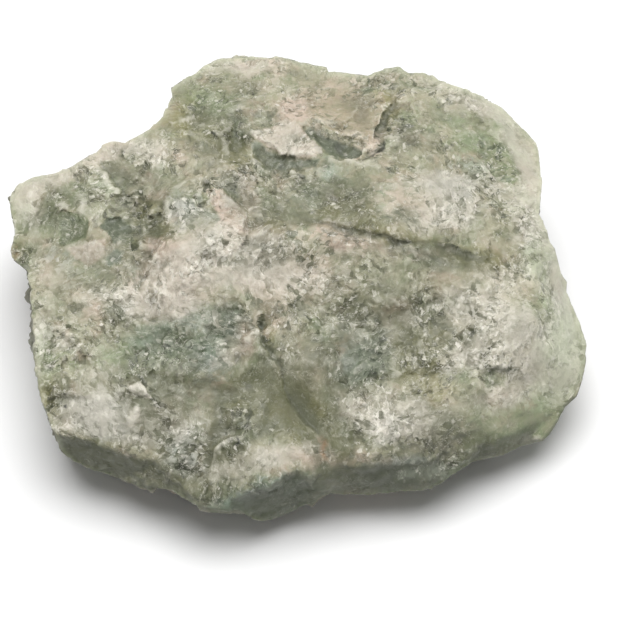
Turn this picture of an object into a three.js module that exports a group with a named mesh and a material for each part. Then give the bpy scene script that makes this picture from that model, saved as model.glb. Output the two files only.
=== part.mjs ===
// A raw chunk of green aventurine, broken on every side, lying on its flattest face.
// Units are millimetres and +Z is up. The origin is under the middle of the chunk, on the surface it
// lies on.
//
// The chunk is one stone, so it is one solid. Its widest line, the girdle, is drawn in a plane that leans
// back from the upright: a runs across the chunk, b runs up the plane, and c stands out from it, up and to
// the front. A front sheet (the broad broken face and the front walls) and a back sheet (the far walls and
// the flat underside) both start at the girdle. Each sheet is the innermost of a few fracture planes and
// of a rounded shoulder that rises from the girdle. Swells, hollows and creases are added to the face.
import * as THREE from "three";
import { mergeVertices } from "three/addons/utils/BufferGeometryUtils.js";

// Driving dimensions
const LEAN = THREE.MathUtils.degToRad(58); // how far the c direction is raised from the ground
const MID_HEIGHT = 13; // height above the ground of the point a = b = c = 0
const ICOSPHERE_CUTS = 20; // 20 * (cuts + 1)^2 triangles
const ROUNDING = 0.5; // how softly two fracture planes meet
const SHOULDER = { front: 26, back: 24 }; // how far the shoulder could rise from the girdle
const SHOULDER_POWER = { front: 9, back: 5 }; // higher is a tighter edge
const LEAST_RISE = 0.1; // share of the shoulder's rise that keeps the two sheets apart
const COLOUR = 0x9f9d8b;
const ROUGHNESS = 0.6;

// The girdle, anticlockwise from the right-hand end: across, up the leaning plane, height above the ground.
const GIRDLE = [
  [37.3, -0.6, 13], [37.3, 0.8, 13], [36.3, 2, 13.5], [35.4, 4.6, 14.5], [34.4, 8, 15.5],
  [33.4, 10.2, 16], [33.5, 12, 17], [33.8, 14.5, 18], [33.9, 18, 19], [33.4, 20.4, 19],
  [32.4, 21.7, 19], [30, 23.8, 19.5], [28.3, 25.4, 19.5], [24.6, 27.4, 20], [21.4, 28.5, 20],
  [17.4, 30.3, 20], [15.2, 30.4, 20], [14.3, 31.1, 20], [12.8, 31.1, 20], [10.1, 30.1, 20],
  [8, 30.3, 20], [4.2, 30.8, 20], [4, 31.4, 20], [0.3, 32, 19.5], [-2.6, 32.7, 19], [-6, 33, 19],
  [-8.2, 33, 19], [-11.5, 32.4, 19], [-13.2, 31.5, 19], [-14.4, 30.2, 19], [-16.8, 28.8, 19],
  [-17.9, 28.1, 19], [-17.7, 27, 19], [-18.3, 25.8, 19], [-19, 24.1, 18.5], [-20.8, 22, 18.5],
  [-22.6, 21.2, 18], [-24.3, 20.4, 17.5], [-25.8, 20.6, 17.5], [-27.2, 20.1, 17], [-28.3, 19, 17],
  [-29.9, 18.5, 16.5], [-31.3, 17.4, 16.5], [-33.4, 16.3, 15.5], [-35.5, 16, 15], [-37.7, 15.2, 14.5],
  [-39.1, 14.3, 14], [-40.1, 13.3, 14], [-40.3, 12, 13.5], [-40, 8, 12.5], [-40.2, 5.4, 12],
  [-39.8, 3.7, 11.5], [-38.1, 2.2, 11], [-37.6, -0.3, 10.5], [-37, -4.4, 10], [-36.3, -9.3, 9],
  [-35.7, -12.5, 8.5], [-35, -16.1, 8], [-34.2, -19.2, 7], [-33.4, -21, 6], [-32.7, -22.8, 5],
  [-30.6, -24, 4.5], [-27.2, -25.3, 4], [-23.1, -26.7, 4], [-18.2, -28, 3.5], [-16.2, -28.7, 3],
  [-13.4, -30.2, 3], [-10, -30.5, 2.5], [-7.9, -30.6, 2], [-6.6, -31.3, 2], [-5, -31.7, 2],
  [-3.2, -31.6, 2], [-1.1, -30.9, 2], [1, -29.8, 2.5], [3.1, -28.7, 3], [4.4, -28.1, 3], [14, -28, 3],
  [18.2, -27.7, 3], [21.6, -25.7, 4], [23.7, -24.3, 4.5], [27.8, -23, 5], [30.6, -21.8, 5],
  [33.8, -21.2, 5.5], [34.8, -20.2, 6], [36.1, -18.2, 7], [36.9, -16.5, 8], [38.6, -15, 8.5],
  [39.2, -13.4, 9], [39.8, -10.6, 10], [40.1, -7.9, 11], [39.4, -5.8, 11.5], [38.4, -3.3, 12.5],
];

// Fracture planes: a point on each (across, up the leaning plane, height above the ground), the compass
// bearing that it faces (0 is +X, 90 is +Y) and how far it is tipped from facing straight up, in degrees.
// Two front planes in one entry meet in a hollow corner, and the outer of the two counts.
const FRONT_PLANES = [
  [{ name: "crown", at: [2, 8, 26.2], bearing: 90, tip: 4 }],
  [{ name: "far shelf", at: [0, 25, 23.5], bearing: 95, tip: 16 }],
  [{ name: "near left slope", at: [-24, -21.5, 13.6], bearing: 262, tip: 25 }],
  [{ name: "near right slope", at: [20, -20.5, 14], bearing: 279, tip: 25 }],
  [{ name: "left slope", at: [-28, 4, 22], bearing: 190, tip: 13 }],
  [{ name: "right slope", at: [26, 4, 22], bearing: 350, tip: 17 }],
  [{ name: "right shoulder", at: [36, -5, 15], bearing: 350, tip: 50 }],
  [{ name: "far right shoulder", at: [30, 19, 21.5], bearing: 25, tip: 34 }],
  [
    { name: "front wall, left", at: [-33.2, -19.8, 13.9], bearing: 255, tip: 80 },
    { name: "side of the near lobe", at: [-20, -23.4, 13], bearing: 236, tip: 70 },
  ],
  [
    { name: "beak", at: [-9.1, -28.5, 11.4], bearing: 289, tip: 78 },
    { name: "front wall, right", at: [-0.6, -24.7, 13.4], bearing: 277, tip: 78 },
  ],
  [{ name: "front wall, far right", at: [18, -24.4, 12], bearing: 303, tip: 76 }],
  [{ name: "front slope, right", at: [4.4, -23.4, 13.7], bearing: 281, tip: 58 }],
  [{ name: "right front slope", at: [22.5, -16.5, 15.5], bearing: 291, tip: 54 }],
  [{ name: "right end", at: [32, -14.2, 12.6], bearing: 310, tip: 50 }],
];
const BACK_PLANES = [
  { name: "underside", at: [0, 0, 0], bearing: 270, tip: 180 },
  { name: "lifted left of the underside", at: [-17, 0, 0], bearing: 195, tip: 171 },
  { name: "lifted far corner of the underside", at: [16, 14, 0], bearing: 55, tip: 169 },
  { name: "far wall", at: [2, 29.5, 12], bearing: 92, tip: 104 },
  { name: "far right wall", at: [33, 14, 11], bearing: 40, tip: 112 },
  { name: "far left wall", at: [-28, 17, 10], bearing: 130, tip: 114 },
  { name: "left undercut", at: [-37, -4, 7], bearing: 183, tip: 134 },
  { name: "front left undercut", at: [-29, -25, 3.5], bearing: 240, tip: 146 },
  { name: "front right undercut", at: [12, -28, 2], bearing: 280, tip: 152 },
  { name: "right undercut", at: [37, -8, 6], bearing: 345, tip: 136 },
];

// Swells (rise over 0) and hollows (rise under 0) of the face: centre, half widths, turn in degrees, rise.
const SWELLS = [
  { name: "far lobe", at: [15, 13], half: [16, 5.5], turn: -12, rise: 1.6 },
  { name: "far left lobe", at: [-10, 25], half: [11, 7], turn: 20, rise: 0.8 },
  { name: "pale brow", at: [-13, 7], half: [10, 6], turn: 18, rise: 1.7 },
  { name: "left block", at: [-33, 8], half: [6, 9], turn: 0, rise: 0.9 },
  { name: "pocket", at: [-22.5, 8], half: [5, 8], turn: 10, rise: -1.5 },
  { name: "under the pale flake", at: [-3, 15.5], half: [7, 3.5], turn: -10, rise: -1.4 },
  { name: "near left lobe", at: [-22, -15], half: [13, 6], turn: -8, rise: 1.2 },
  { name: "nose", at: [-5, -22.5], half: [6, 3.5], turn: 14, rise: 1 },
  { name: "near right lobe", at: [14, -17], half: [8, 5.5], turn: 8, rise: 1.5 },
  { name: "scoop", at: [1.6, -17], half: [3.4, 6], turn: 24, rise: -1.2 },
  { name: "left of the scoop", at: [-7, -14], half: [5.5, 4], turn: 10, rise: -1 },
  { name: "sag right of middle", at: [15, -3], half: [11, 6], turn: 10, rise: -1.3 },
  { name: "right brow", at: [29, -6], half: [6, 6], turn: 0, rise: 0.9 },
  { name: "far right sag", at: [28, 13], half: [6, 6], turn: 0, rise: -0.6 },
];
const FADE_POWER = 8; // how late the swells and creases fade out towards the girdle

// Creases: the line each follows (across, up the leaning plane), how deep it is and how wide.
const CREASES = [
  {
    name: "long crack",
    line: [[-1, 10], [8.5, 7.6], [13.5, 6], [18, 6.2], [27, 3.4]],
    depth: 0.4,
    width: 2,
  },
  {
    name: "groove",
    line: [[-4.4, -8.6], [-2.2, -11.3], [-1.6, -14], [0, -16.5], [3.7, -21]],
    depth: 0.7,
    width: 2,
  },
];

const ACROSS = new THREE.Vector3(1, 0, 0);
const UP = new THREE.Vector3(0, Math.sin(LEAN), Math.cos(LEAN));
const OUT = new THREE.Vector3(0, -Math.cos(LEAN), Math.sin(LEAN));

// The point of space with the given a, b and c.
function place(a, b, c) {
  const point = new THREE.Vector3(0, 0, MID_HEIGHT);
  return point.addScaledVector(ACROSS, a).addScaledVector(UP, b).addScaledVector(OUT, c);
}

// How far out of the leaning plane a point lies, from its height above the ground.
function outAt(b, height) {
  return (height - MID_HEIGHT - b * UP.z) / OUT.z;
}

// A fracture plane as a function that gives c for any a and b.
function planeSheet({ at: [a, b, height], bearing, tip }) {
  const tipped = THREE.MathUtils.degToRad(tip);
  const facing = new THREE.Vector3(Math.sin(tipped), 0, Math.cos(tipped));
  facing.applyAxisAngle(new THREE.Vector3(0, 0, 1), THREE.MathUtils.degToRad(bearing));
  const plane = new THREE.Plane().setFromNormalAndCoplanarPoint(facing, place(a, b, outAt(b, height)));
  return (x, y) => -plane.distanceToPoint(place(x, y, 0)) / facing.dot(OUT);
}

// The girdle's corners in polar form, in order of angle.
const CORNERS = GIRDLE.map(([a, b, height]) => ({
  angle: Math.atan2(b, a),
  reach: Math.hypot(a, b),
  depth: outAt(b, height),
})).sort((p, q) => p.angle - q.angle);

// The girdle's reach and depth in any direction, shared out evenly between its two nearest corners.
function girdleAt(angle) {
  const found = CORNERS.findIndex((corner) => corner.angle >= angle);
  const next = Math.max(found, 0);
  const q = CORNERS[next];
  const p = CORNERS[(next + CORNERS.length - 1) % CORNERS.length];
  const turned = (to) => THREE.MathUtils.euclideanModulo(to - p.angle, 2 * Math.PI);
  const share = turned(angle) / turned(q.angle);
  return {
    reach: THREE.MathUtils.lerp(p.reach, q.reach, share),
    depth: THREE.MathUtils.lerp(p.depth, q.depth, share),
  };
}

// The least of several values, with the corners between them rounded.
function softLeast(values) {
  const least = Math.min(...values);
  const sum = values.reduce((total, value) => total + Math.exp((least - value) / ROUNDING), 0);
  return least - ROUNDING * Math.log(sum);
}

// The rise of all the swells and hollows together: each is a bell with its own half widths.
function swellAt(a, b) {
  return SWELLS.reduce((total, { at, half, turn, rise }) => {
    const offset = new THREE.Vector2(a - at[0], b - at[1]);
    offset.rotateAround(new THREE.Vector2(), -THREE.MathUtils.degToRad(turn));
    return total + rise * Math.exp(-((offset.x / half[0]) ** 2) - (offset.y / half[1]) ** 2);
  }, 0);
}

// The drop of all the creases together: each is a rounded trough along its line.
function creaseAt(a, b) {
  const here = new THREE.Vector3(a, b, 0);
  const nearest = new THREE.Vector3();
  return CREASES.reduce((total, { line, depth, width }) => {
    const distances = line.slice(1).map((end, i) => {
      const stretch = new THREE.Line3(new THREE.Vector3(...line[i], 0), new THREE.Vector3(...end, 0));
      return stretch.closestPointToPoint(here, true, nearest).distanceTo(here);
    });
    return total + depth * Math.exp(-((Math.min(...distances) / width) ** 2));
  }, 0);
}

const FRONT_SHEETS = FRONT_PLANES.map((planes) => {
  const sheets = planes.map(planeSheet);
  return (a, b) => Math.max(...sheets.map((sheet) => sheet(a, b)));
});
const [UNDERSIDE, ...BACK_SHEETS] = BACK_PLANES.map(planeSheet);

// c on the front sheet. spread is 0 at the middle of the sheet and 1 at the girdle.
function frontAt(a, b, depth, spread) {
  const rise = SHOULDER.front * Math.sqrt(1 - spread ** SHOULDER_POWER.front);
  const planes = softLeast([...FRONT_SHEETS.map((sheet) => sheet(a, b)), depth + rise]);
  const relief = (1 - spread ** FADE_POWER) * (swellAt(a, b) - creaseAt(a, b));
  return Math.max(depth + LEAST_RISE * rise, planes + relief);
}

// c on the back sheet, cut off flat by the underside.
function backAt(a, b, depth, spread) {
  const rise = SHOULDER.back * Math.sqrt(1 - spread ** SHOULDER_POWER.back);
  const planes = -softLeast([...BACK_SHEETS.map((sheet) => -sheet(a, b)), rise - depth]);
  return Math.min(depth - LEAST_RISE * rise, Math.max(planes, UNDERSIDE(a, b)));
}

// The point of the stone's skin that a direction from its middle stands for.
function skinPoint(direction) {
  const spread = Math.min(1, Math.hypot(direction.x, direction.y));
  const angle = Math.atan2(direction.y, direction.x);
  const { reach, depth } = girdleAt(angle);
  const a = spread * reach * Math.cos(angle);
  const b = spread * reach * Math.sin(angle);
  const sheet = direction.z >= 0 ? frontAt : backAt;
  return place(a, b, sheet(a, b, depth, spread));
}

// A ball of even triangles, each corner of which is moved out to the skin.
function stoneGeometry() {
  const ball = new THREE.IcosahedronGeometry(1, ICOSPHERE_CUTS);
  ball.deleteAttribute("normal");
  ball.deleteAttribute("uv");
  const geometry = mergeVertices(ball, 1e-5);
  const positions = geometry.getAttribute("position");
  const direction = new THREE.Vector3();
  for (let i = 0; i < positions.count; i++) {
    const point = skinPoint(direction.fromBufferAttribute(positions, i).normalize());
    const level = Math.abs(point.z) < 1e-6 ? 0 : point.z; // the resting face is exactly flat
    positions.setXYZ(i, point.x, point.y, level);
  }
  geometry.computeBoundingBox();
  const middle = geometry.boundingBox.getCenter(new THREE.Vector3());
  geometry.translate(-middle.x, -middle.y, 0);
  geometry.computeVertexNormals();
  return geometry;
}

function aventurineChunk() {
  const stone = new THREE.MeshStandardMaterial({
    color: COLOUR,
    roughness: ROUGHNESS,
    metalness: 0,
    flatShading: true,
  });
  const chunk = new THREE.Mesh(stoneGeometry(), stone);
  chunk.name = "aventurine_chunk";
  return chunk;
}

const part = new THREE.Group();
part.add(aventurineChunk());
export default part;
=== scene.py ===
import math

import bpy
import numpy as np
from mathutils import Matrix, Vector


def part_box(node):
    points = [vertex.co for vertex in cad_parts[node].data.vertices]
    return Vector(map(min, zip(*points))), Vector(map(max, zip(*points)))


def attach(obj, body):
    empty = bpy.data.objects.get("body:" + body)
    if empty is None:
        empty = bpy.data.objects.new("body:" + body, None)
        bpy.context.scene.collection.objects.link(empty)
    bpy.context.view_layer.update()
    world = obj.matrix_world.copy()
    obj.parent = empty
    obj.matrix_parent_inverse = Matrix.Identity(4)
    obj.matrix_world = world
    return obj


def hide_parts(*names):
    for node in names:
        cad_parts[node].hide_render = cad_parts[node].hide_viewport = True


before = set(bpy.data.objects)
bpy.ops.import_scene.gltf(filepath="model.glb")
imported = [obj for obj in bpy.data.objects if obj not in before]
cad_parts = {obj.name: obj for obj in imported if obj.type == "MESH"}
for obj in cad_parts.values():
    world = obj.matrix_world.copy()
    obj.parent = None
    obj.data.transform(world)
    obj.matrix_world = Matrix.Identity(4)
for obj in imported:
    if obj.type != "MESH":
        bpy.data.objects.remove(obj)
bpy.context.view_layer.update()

MM = 0.001
NODE = "aventurine_chunk"
LEAN = math.radians(58)  # between the upright and the plane that the girdle is drawn in
MID_HEIGHT = 13.0  # height above the ground of the point a = b = c = 0
ACROSS = np.array([1.0, 0.0, 0.0])
UP = np.array([0.0, math.sin(LEAN), math.cos(LEAN)])
OUT = np.array([0.0, -math.cos(LEAN), math.sin(LEAN)])
STEPS = 400  # grid steps along each side of a sheet
MOST_TRIANGLES = 190000
ROUNDING = 0.3  # how softly two fracture planes meet
SHOULDER = {"front": (26.0, 9.0), "back": (24.0, 5.0)}  # possible rise from the girdle, and tightness
LEAST_RISE = 0.1  # share of the shoulder's rise that keeps the two sheets apart
WALL_SET_IN = 0.7  # how far the walls' bold breaks stand back from the outline
SEAM_WIDTH = 0.35  # how wide the shade in a crack is
VIEW_WIDTH = 88.8  # what the view's width takes in at the leaning plane
AIM = (3.05, -4.44)  # where the view is centred: across, and up the leaning plane
FAR = 1e9  # farther than any distance here

# The girdle, anticlockwise from the right-hand end: across, up the leaning plane, height above the ground.
GIRDLE = [
    (37.3, -0.6, 13), (37.3, 0.8, 13), (36.3, 2, 13.5), (35.4, 4.6, 14.5), (34.4, 8, 15.5),
    (33.4, 10.2, 16), (33.5, 12, 17), (33.8, 14.5, 18), (33.9, 18, 19), (33.4, 20.4, 19), (32.4, 21.7, 19),
    (30, 23.8, 19.5), (28.3, 25.4, 19.5), (24.6, 27.4, 20), (21.4, 28.5, 20), (17.4, 30.3, 20),
    (15.2, 30.4, 20), (14.3, 31.1, 20), (12.8, 31.1, 20), (10.1, 30.1, 20), (8, 30.3, 20), (4.2, 30.8, 20),
    (4, 31.4, 20), (0.3, 32, 19.5), (-2.6, 32.7, 19), (-6, 33, 19), (-8.2, 33, 19), (-11.5, 32.4, 19),
    (-13.2, 31.5, 19), (-14.4, 30.2, 19), (-16.8, 28.8, 19), (-17.9, 28.1, 19), (-17.7, 27, 19),
    (-18.3, 25.8, 19), (-19, 24.1, 18.5), (-20.8, 22, 18.5), (-22.6, 21.2, 18), (-24.3, 20.4, 17.5),
    (-25.8, 20.6, 17.5), (-27.2, 20.1, 17), (-28.3, 19, 17), (-29.9, 18.5, 16.5), (-31.3, 17.4, 16.5),
    (-33.4, 16.3, 15.5), (-35.5, 16, 15), (-37.7, 15.2, 14.5), (-39.1, 14.3, 14), (-40.1, 13.3, 14),
    (-40.3, 12, 13.5), (-40, 8, 12.5), (-40.2, 5.4, 12), (-39.8, 3.7, 11.5), (-38.1, 2.2, 11),
    (-37.6, -0.3, 10.5), (-37, -4.4, 10), (-36.3, -9.3, 9), (-35.7, -12.5, 8.5), (-35, -16.1, 8),
    (-34.2, -19.2, 7), (-33.4, -21, 6), (-32.7, -22.8, 5), (-30.6, -24, 4.5), (-27.2, -25.3, 4),
    (-23.1, -26.7, 4), (-18.2, -28, 3.5), (-16.2, -28.7, 3), (-13.4, -30.2, 3), (-10, -30.5, 2.5),
    (-7.9, -30.6, 2), (-6.6, -31.3, 2), (-5, -31.7, 2), (-3.2, -31.6, 2), (-1.1, -30.9, 2), (1, -29.8, 2.5),
    (3.1, -28.7, 3), (4.4, -28.1, 3), (14, -28, 3), (18.2, -27.7, 3), (21.6, -25.7, 4), (23.7, -24.3, 4.5),
    (27.8, -23, 5), (30.6, -21.8, 5), (33.8, -21.2, 5.5), (34.8, -20.2, 6), (36.1, -18.2, 7),
    (36.9, -16.5, 8), (38.6, -15, 8.5), (39.2, -13.4, 9), (39.8, -10.6, 10), (40.1, -7.9, 11),
    (39.4, -5.8, 11.5), (38.4, -3.3, 12.5),
]

# Fracture planes: a point on each (across, up the leaning plane, height above the ground), the bearing that
# it faces (0 is +X, 90 is +Y) and how far it is tipped from facing straight up, in degrees.
FRONT_PLANES = {
    "crown": ((2, 8, 26.2), 90, 4),
    "far shelf": ((0, 25, 23.5), 95, 16),
    "near left slope": ((-24, -21.5, 13.6), 262, 25),
    "near right slope": ((20, -20.5, 14.0), 279, 25),
    "left slope": ((-28, 4, 22.0), 190, 13),
    "right slope": ((26, 4, 22), 350, 17),
    "right shoulder": ((36, -5, 15), 350, 50),
    "far right shoulder": ((30, 19, 21.5), 25, 34),
    "front wall, left": ((-33.2, -19.8, 13.9), 255, 80),
    "near lobe, side": ((-20.0, -23.4, 13.0), 236, 70),
    "beak": ((-9.1, -28.5, 11.4), 289, 78),
    "front wall, right": ((-0.6, -24.7, 13.4), 277, 78),
    "front wall, far right": ((18.0, -24.4, 12.0), 303, 76),
    "front slope, right": ((4.4, -23.4, 13.7), 281, 58),
    "right front slope": ((22.5, -16.5, 15.5), 291, 54),
    "right end": ((32, -14.2, 12.6), 310, 50),
}
# Pairs of front planes that meet in a hollow corner: the outer of the two counts.
HOLLOW = [("front wall, left", "near lobe, side"), ("beak", "front wall, right")]
BACK_PLANES = {
    "lifted left of the underside": ((-17, 0, 0), 195, 171),
    "lifted far corner of the underside": ((16, 14, 0), 55, 169),
    "far wall": ((2, 29.5, 12), 92, 104),
    "far right wall": ((33, 14, 11), 40, 112),
    "far left wall": ((-28, 17, 10), 130, 114),
    "left undercut": ((-37, -4, 7), 183, 134),
    "front left undercut": ((-29, -25, 3.5), 240, 146),
    "front right undercut": ((12, -28, 2), 280, 152),
    "right undercut": ((37, -8, 6), 345, 136),
}
UNDERSIDE = ((0, 0, 0), 270, 180)

# Swells, pits, patches of feel and stains are ovals. Each is listed as its centre (across, and up the leaning
# plane), its two half widths, its strength, height or depth, and its turn in degrees if it has one.

# Broad swells and hollows of the face.
SWELLS = [
    (15, 13, 16, 5.5, 1.6, -12),  # far lobe, over the long crease
    (-10, 25, 11, 7, 0.8, 20),
    (-13, 7, 10, 6, 1.7, 18),  # pale brow
    (-33, 8, 6, 9, 0.9),
    (-22.5, 8, 5, 8, -1.5, 10),  # pocket
    (-3, 15.5, 7, 3.5, -1.4, -10),
    (-22, -15, 13, 6, 1.2, -8),  # near left lobe
    (-5, -22.5, 6, 3.5, 1, 14),
    (14, -17, 8, 5.5, 1.5, 8),  # near right lobe
    (1.6, -17, 3.4, 6, -1.2, 24),  # scoop
    (-7, -14, 5.5, 4, -1, 10),
    (15, -3, 11, 6, -1.3, 10),
    (29, -6, 6, 6, 0.9),
    (28, 13, 6, 6, -0.6),
]

# Ledges: the line of each, how much higher the ground to the left of the line's way stands, how far from the
# line the two sides take to come level again, and how wide the step is.
LEDGES = [
    ([(-1, 10), (3.5, 9.2), (8.5, 7.6), (13.5, 6.0), (18, 6.2), (22.3, 4.8), (27, 3.4)], 0.2, 3.5, 0.4),
    ([(3.7, -21), (2, -19), (0, -16.5), (-1.6, -14), (-2.2, -11.3), (-4.4, -8.6)], 0.45, 3.0, 0.25),
    ([(-23.7, 12.9), (-25.8, 15.3), (-27.5, 17.5)], 0.7, 2.6, 0.25),
    ([(-9, 17.8), (-9.6, 20.5), (-9.3, 22.6), (-10.4, 24.4)], 0.8, 2.2, 0.3),
    ([(-6.7, 18.4), (-4.6, 16.1), (-2.5, 15.3), (0.6, 16)], -0.6, 2.0, 0.3),
    ([(-6.5, 7.2), (-6.7, 9.7), (-8, 11.9), (-10.5, 13.3), (-13, 13.6)], 0.8, 2.8, 0.25),
    ([(10.4, 20), (11.2, 22), (12, 23.6), (13, 25.2), (13.4, 27)], 0.6, 1.6, 0.2),
    ([(1.4, 23.3), (4.4, 21.6), (7.2, 20.5), (10.3, 20.2)], 0.6, 2.0, 0.3),
    ([(5.8, 17.5), (10.3, 16.4), (13.7, 16)], 0.45, 1.6, 0.25),
    ([(31.5, -1.7), (33.6, -0.6), (37, -0.3)], 0.5, 1.5, 0.25),
    ([(6.5, -16.4), (7.5, -19), (10, -21.8)], 0.5, 3.0, 0.5),
    ([(-33, -5.8), (-29.5, -8.6), (-27.5, -10.9), (-24, -12.4)], 0.4, 1.6, 0.25),
    ([(-13.6, -11.4), (-11.5, -8.6), (-8, -7.9), (-5.8, -7.2)], 0.15, 1.8, 0.25),
    ([(26, -11), (28.5, -11.2), (31.4, -12.4)], 0.5, 1.6, 0.3),
    ([(-19.4, 22.4), (-15, 23.2), (-11.9, 21.4), (-9.4, 20.4)], 0.5, 1.8, 0.25),
    ([(28, 24.5), (29.4, 19), (31.4, 13.5)], -0.5, 2.0, 0.3),
    ([(-36, -1), (-29, -2.6), (-22, -1.4), (-16, -2.2)], 0.2, 2.2, 0.3),
    ([(-3.6, -9.4), (-4.8, -7.8), (-5.3, -6.4), (-5.2, -4.4), (-4.7, -3.2)], 0.5, 1.5, 0.25),
    ([(-33.2, -20.6), (-28.6, -21.8), (-24, -23.4), (-20.4, -25)], 0.7, 1.4, 0.3),
    ([(-30, -23), (-25, -24.6), (-20.6, -26.6)], 0.5, 1.2, 0.25),
    ([(20, -21.6), (24, -19.4), (27.4, -19.4), (31, -17.2), (35.4, -15.9)], 0.35, 1.6, 0.5),
    ([(6, -24.8), (12, -25), (18, -23.8), (22, -21.6)], 0.5, 1.4, 0.3),
    ([(-9.2, -29.4), (-5.6, -27.6), (-3, -26.6), (-0.4, -25), (0.8, -26.3), (3.2, -25.5)], 0.7, 1.5, 0.2),
]

# Flat-topped plates and sunken chips with crisp outlines: the corners of each, its rise at the middle, and
# the slope of its top towards +a and +b.
PLATES = {
    "leaf-shaped flake": ([
        (-6.8, 21.3), (-4.8, 21.8), (-2.8, 23.1), (-1.3, 23.6), (0.2, 22.4), (1.2, 21.6), (2.2, 20.1),
        (3.4, 18.6), (1.5, 18.1), (-0.3, 17.8), (-2.3, 18.5), (-3.8, 19.4), (-5.4, 20.4),
    ], 0.4, (-0.05, -0.06)),
    "green face under the flake": ([
        (-6.6, 20.2), (-5.2, 20), (-3.6, 19), (-2.2, 18.1), (-0.3, 17.4), (3.4, 18.1), (2.5, 16.6),
        (-2.8, 15.9), (-4.6, 16.6), (-6.4, 18.2),
    ], -0.25, (0, 0.2)),
    "dark crevice": ([
        (0.4, 22.5), (2.2, 21.9), (3.8, 21), (5.8, 20.3), (9, 19.1), (8.5, 18.1), (6, 17.8), (4, 18.5),
        (3.5, 18.9), (2.2, 20.5),
    ], -0.4, (0, 0.1)),
    "cream corner": ([
        (-39.4, 13.3), (-38, 14.8), (-35.2, 14.3), (-34.4, 13), (-35, 11.5), (-36.3, 10.2), (-39.2, 11.3),
    ], 0.12, (0.03, -0.03)),
    "cream sliver": ([
        (-32, 5.6), (-29, 6.4), (-26.3, 6.8), (-26.2, 4.4), (-28.6, 3), (-31, 4.2),
    ], 0.15, (0, 0.1)),
    "brown nodule": ([
        (-42, 6.4), (-39.4, 6.6), (-38.6, 4.8), (-38.8, 2.8), (-40, 1.8), (-42, 3),
    ], 0.2, (0.1, 0)),
    "green sliver by the rim": ([
        (25.2, 21.3), (28, 20.5), (29.7, 18.4), (30.9, 14.8), (28, 14.4), (26, 16.4),
    ], -0.12, (0.05, 0)),
    "pale rim": ([
        (25, 25.4), (28.3, 23.2), (30.1, 18.2), (31.2, 14.6), (31, 11.6), (36, 11.6), (36, 19), (31, 27),
    ], 0.12, (0, 0)),
    "far left facet": ([
        (-18.4, 23), (-13.4, 25), (-9.7, 23.2), (-9, 20.6), (-9.6, 19.4), (-12, 19.6), (-15, 20.6),
    ], 0.25, (-0.05, -0.08)),
    "beige plate": ([
        (0.5, 27.5), (4.4, 28.4), (12.2, 27.4), (12.5, 25.4), (11.1, 22.6), (10.5, 20.5), (7.2, 20.7),
        (4.4, 21.9), (1.6, 23.4),
    ], 0.1, (0.03, -0.04)),
    "cream plate": ([
        (-12.9, 13.6), (-10.5, 13.3), (-8, 11.9), (-6.7, 9.7), (-6.4, 7.4), (-7.4, 5.3), (-10.1, 3.8),
        (-13, 4.2), (-13.9, 6), (-12, 8), (-10.8, 9.4), (-11.4, 11.2),
    ], 0.25, (0.06, 0)),
    "left facet": ([
        (-33.6, 15.8), (-28.2, 18.2), (-26.8, 16.3), (-25.5, 14.7), (-23.9, 12.9), (-25.9, 11.4),
        (-26.9, 9.8), (-27.6, 8.5), (-29.2, 9.5), (-30.4, 11), (-31.5, 12.9), (-32.7, 13.7),
    ], 0.25, (0.05, 0.04)),
    "left nodule": ([(-33.6, 11.8), (-32.2, 12.6), (-31, 11.6), (-31.4, 10.4), (-33, 10.2)], 0.7, (0, 0.2)),
    "green chip": ([
        (-33.1, 10.2), (-31.9, 10.5), (-30.3, 10.2), (-29, 8.8), (-29.2, 6.8), (-32.6, 5.9),
    ], -0.3, (-0.1, 0.1)),
    "brown chip": ([
        (-21.2, 10.1), (-19.1, 10.4), (-17.5, 8.3), (-19.1, 7.1), (-20.8, 6.9),
    ], -0.5, (0.12, 0)),
    "pocket chip": ([
        (-27.4, 8.4), (-26.4, 9.6), (-24.8, 9.9), (-22.8, 8.1), (-22.6, 6.6), (-25, 5.3), (-25.9, 7),
    ], -0.3, (0.08, -0.12)),
    "pocket crystal": ([
        (-26.6, 4.1), (-25, 5.2), (-23.5, 4.8), (-24, 3.2), (-25.9, 3.1),
    ], -0.3, (-0.12, 0.1)),
    "near scale": ([
        (-23.3, -13.5), (-21.2, -12.8), (-19.8, -14.8), (-19.1, -15.5), (-21.9, -14.8),
    ], 0.4, (0, 0.1)),
    "near wedge": ([(-22.6, -16.9), (-21.5, -16), (-21.2, -18.3), (-23.3, -19)], 0.35, (0.05, 0.1)),
    "right chip": ([(25.4, -10.4), (28.4, -10.8), (28.2, -13.8), (25.6, -13.6)], -0.1, (0.06, 0.05)),
}

# Small round pits, by their depth.
PITS = [
    (5.9, 19.4, 1.2, 1.3, 0.4), (10, 18.5, 1.5, 0.6, 0.7, 35), (11.8, 19.9, 0.6, 0.5, 0.6),
    (-8.3, 21.2, 1.1, 2.2, 0.6, 10), (-20.4, 4.4, 0.8, 0.8, 0.6), (-18.6, 3.3, 1.3, 0.6, 0.5, 20),
    (-8.2, -9.6, 1, 1.2, 0.4), (-13.2, 11.4, 0.45, 0.5, 0.6), (-11.8, 21.3, 0.5, 0.25, 0.4, -20),
    (30.8, 9.4, 0.35, 0.25, 0.4, 40), (8, -12.4, 1.6, 0.7, 0.5, 20),
]

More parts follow.
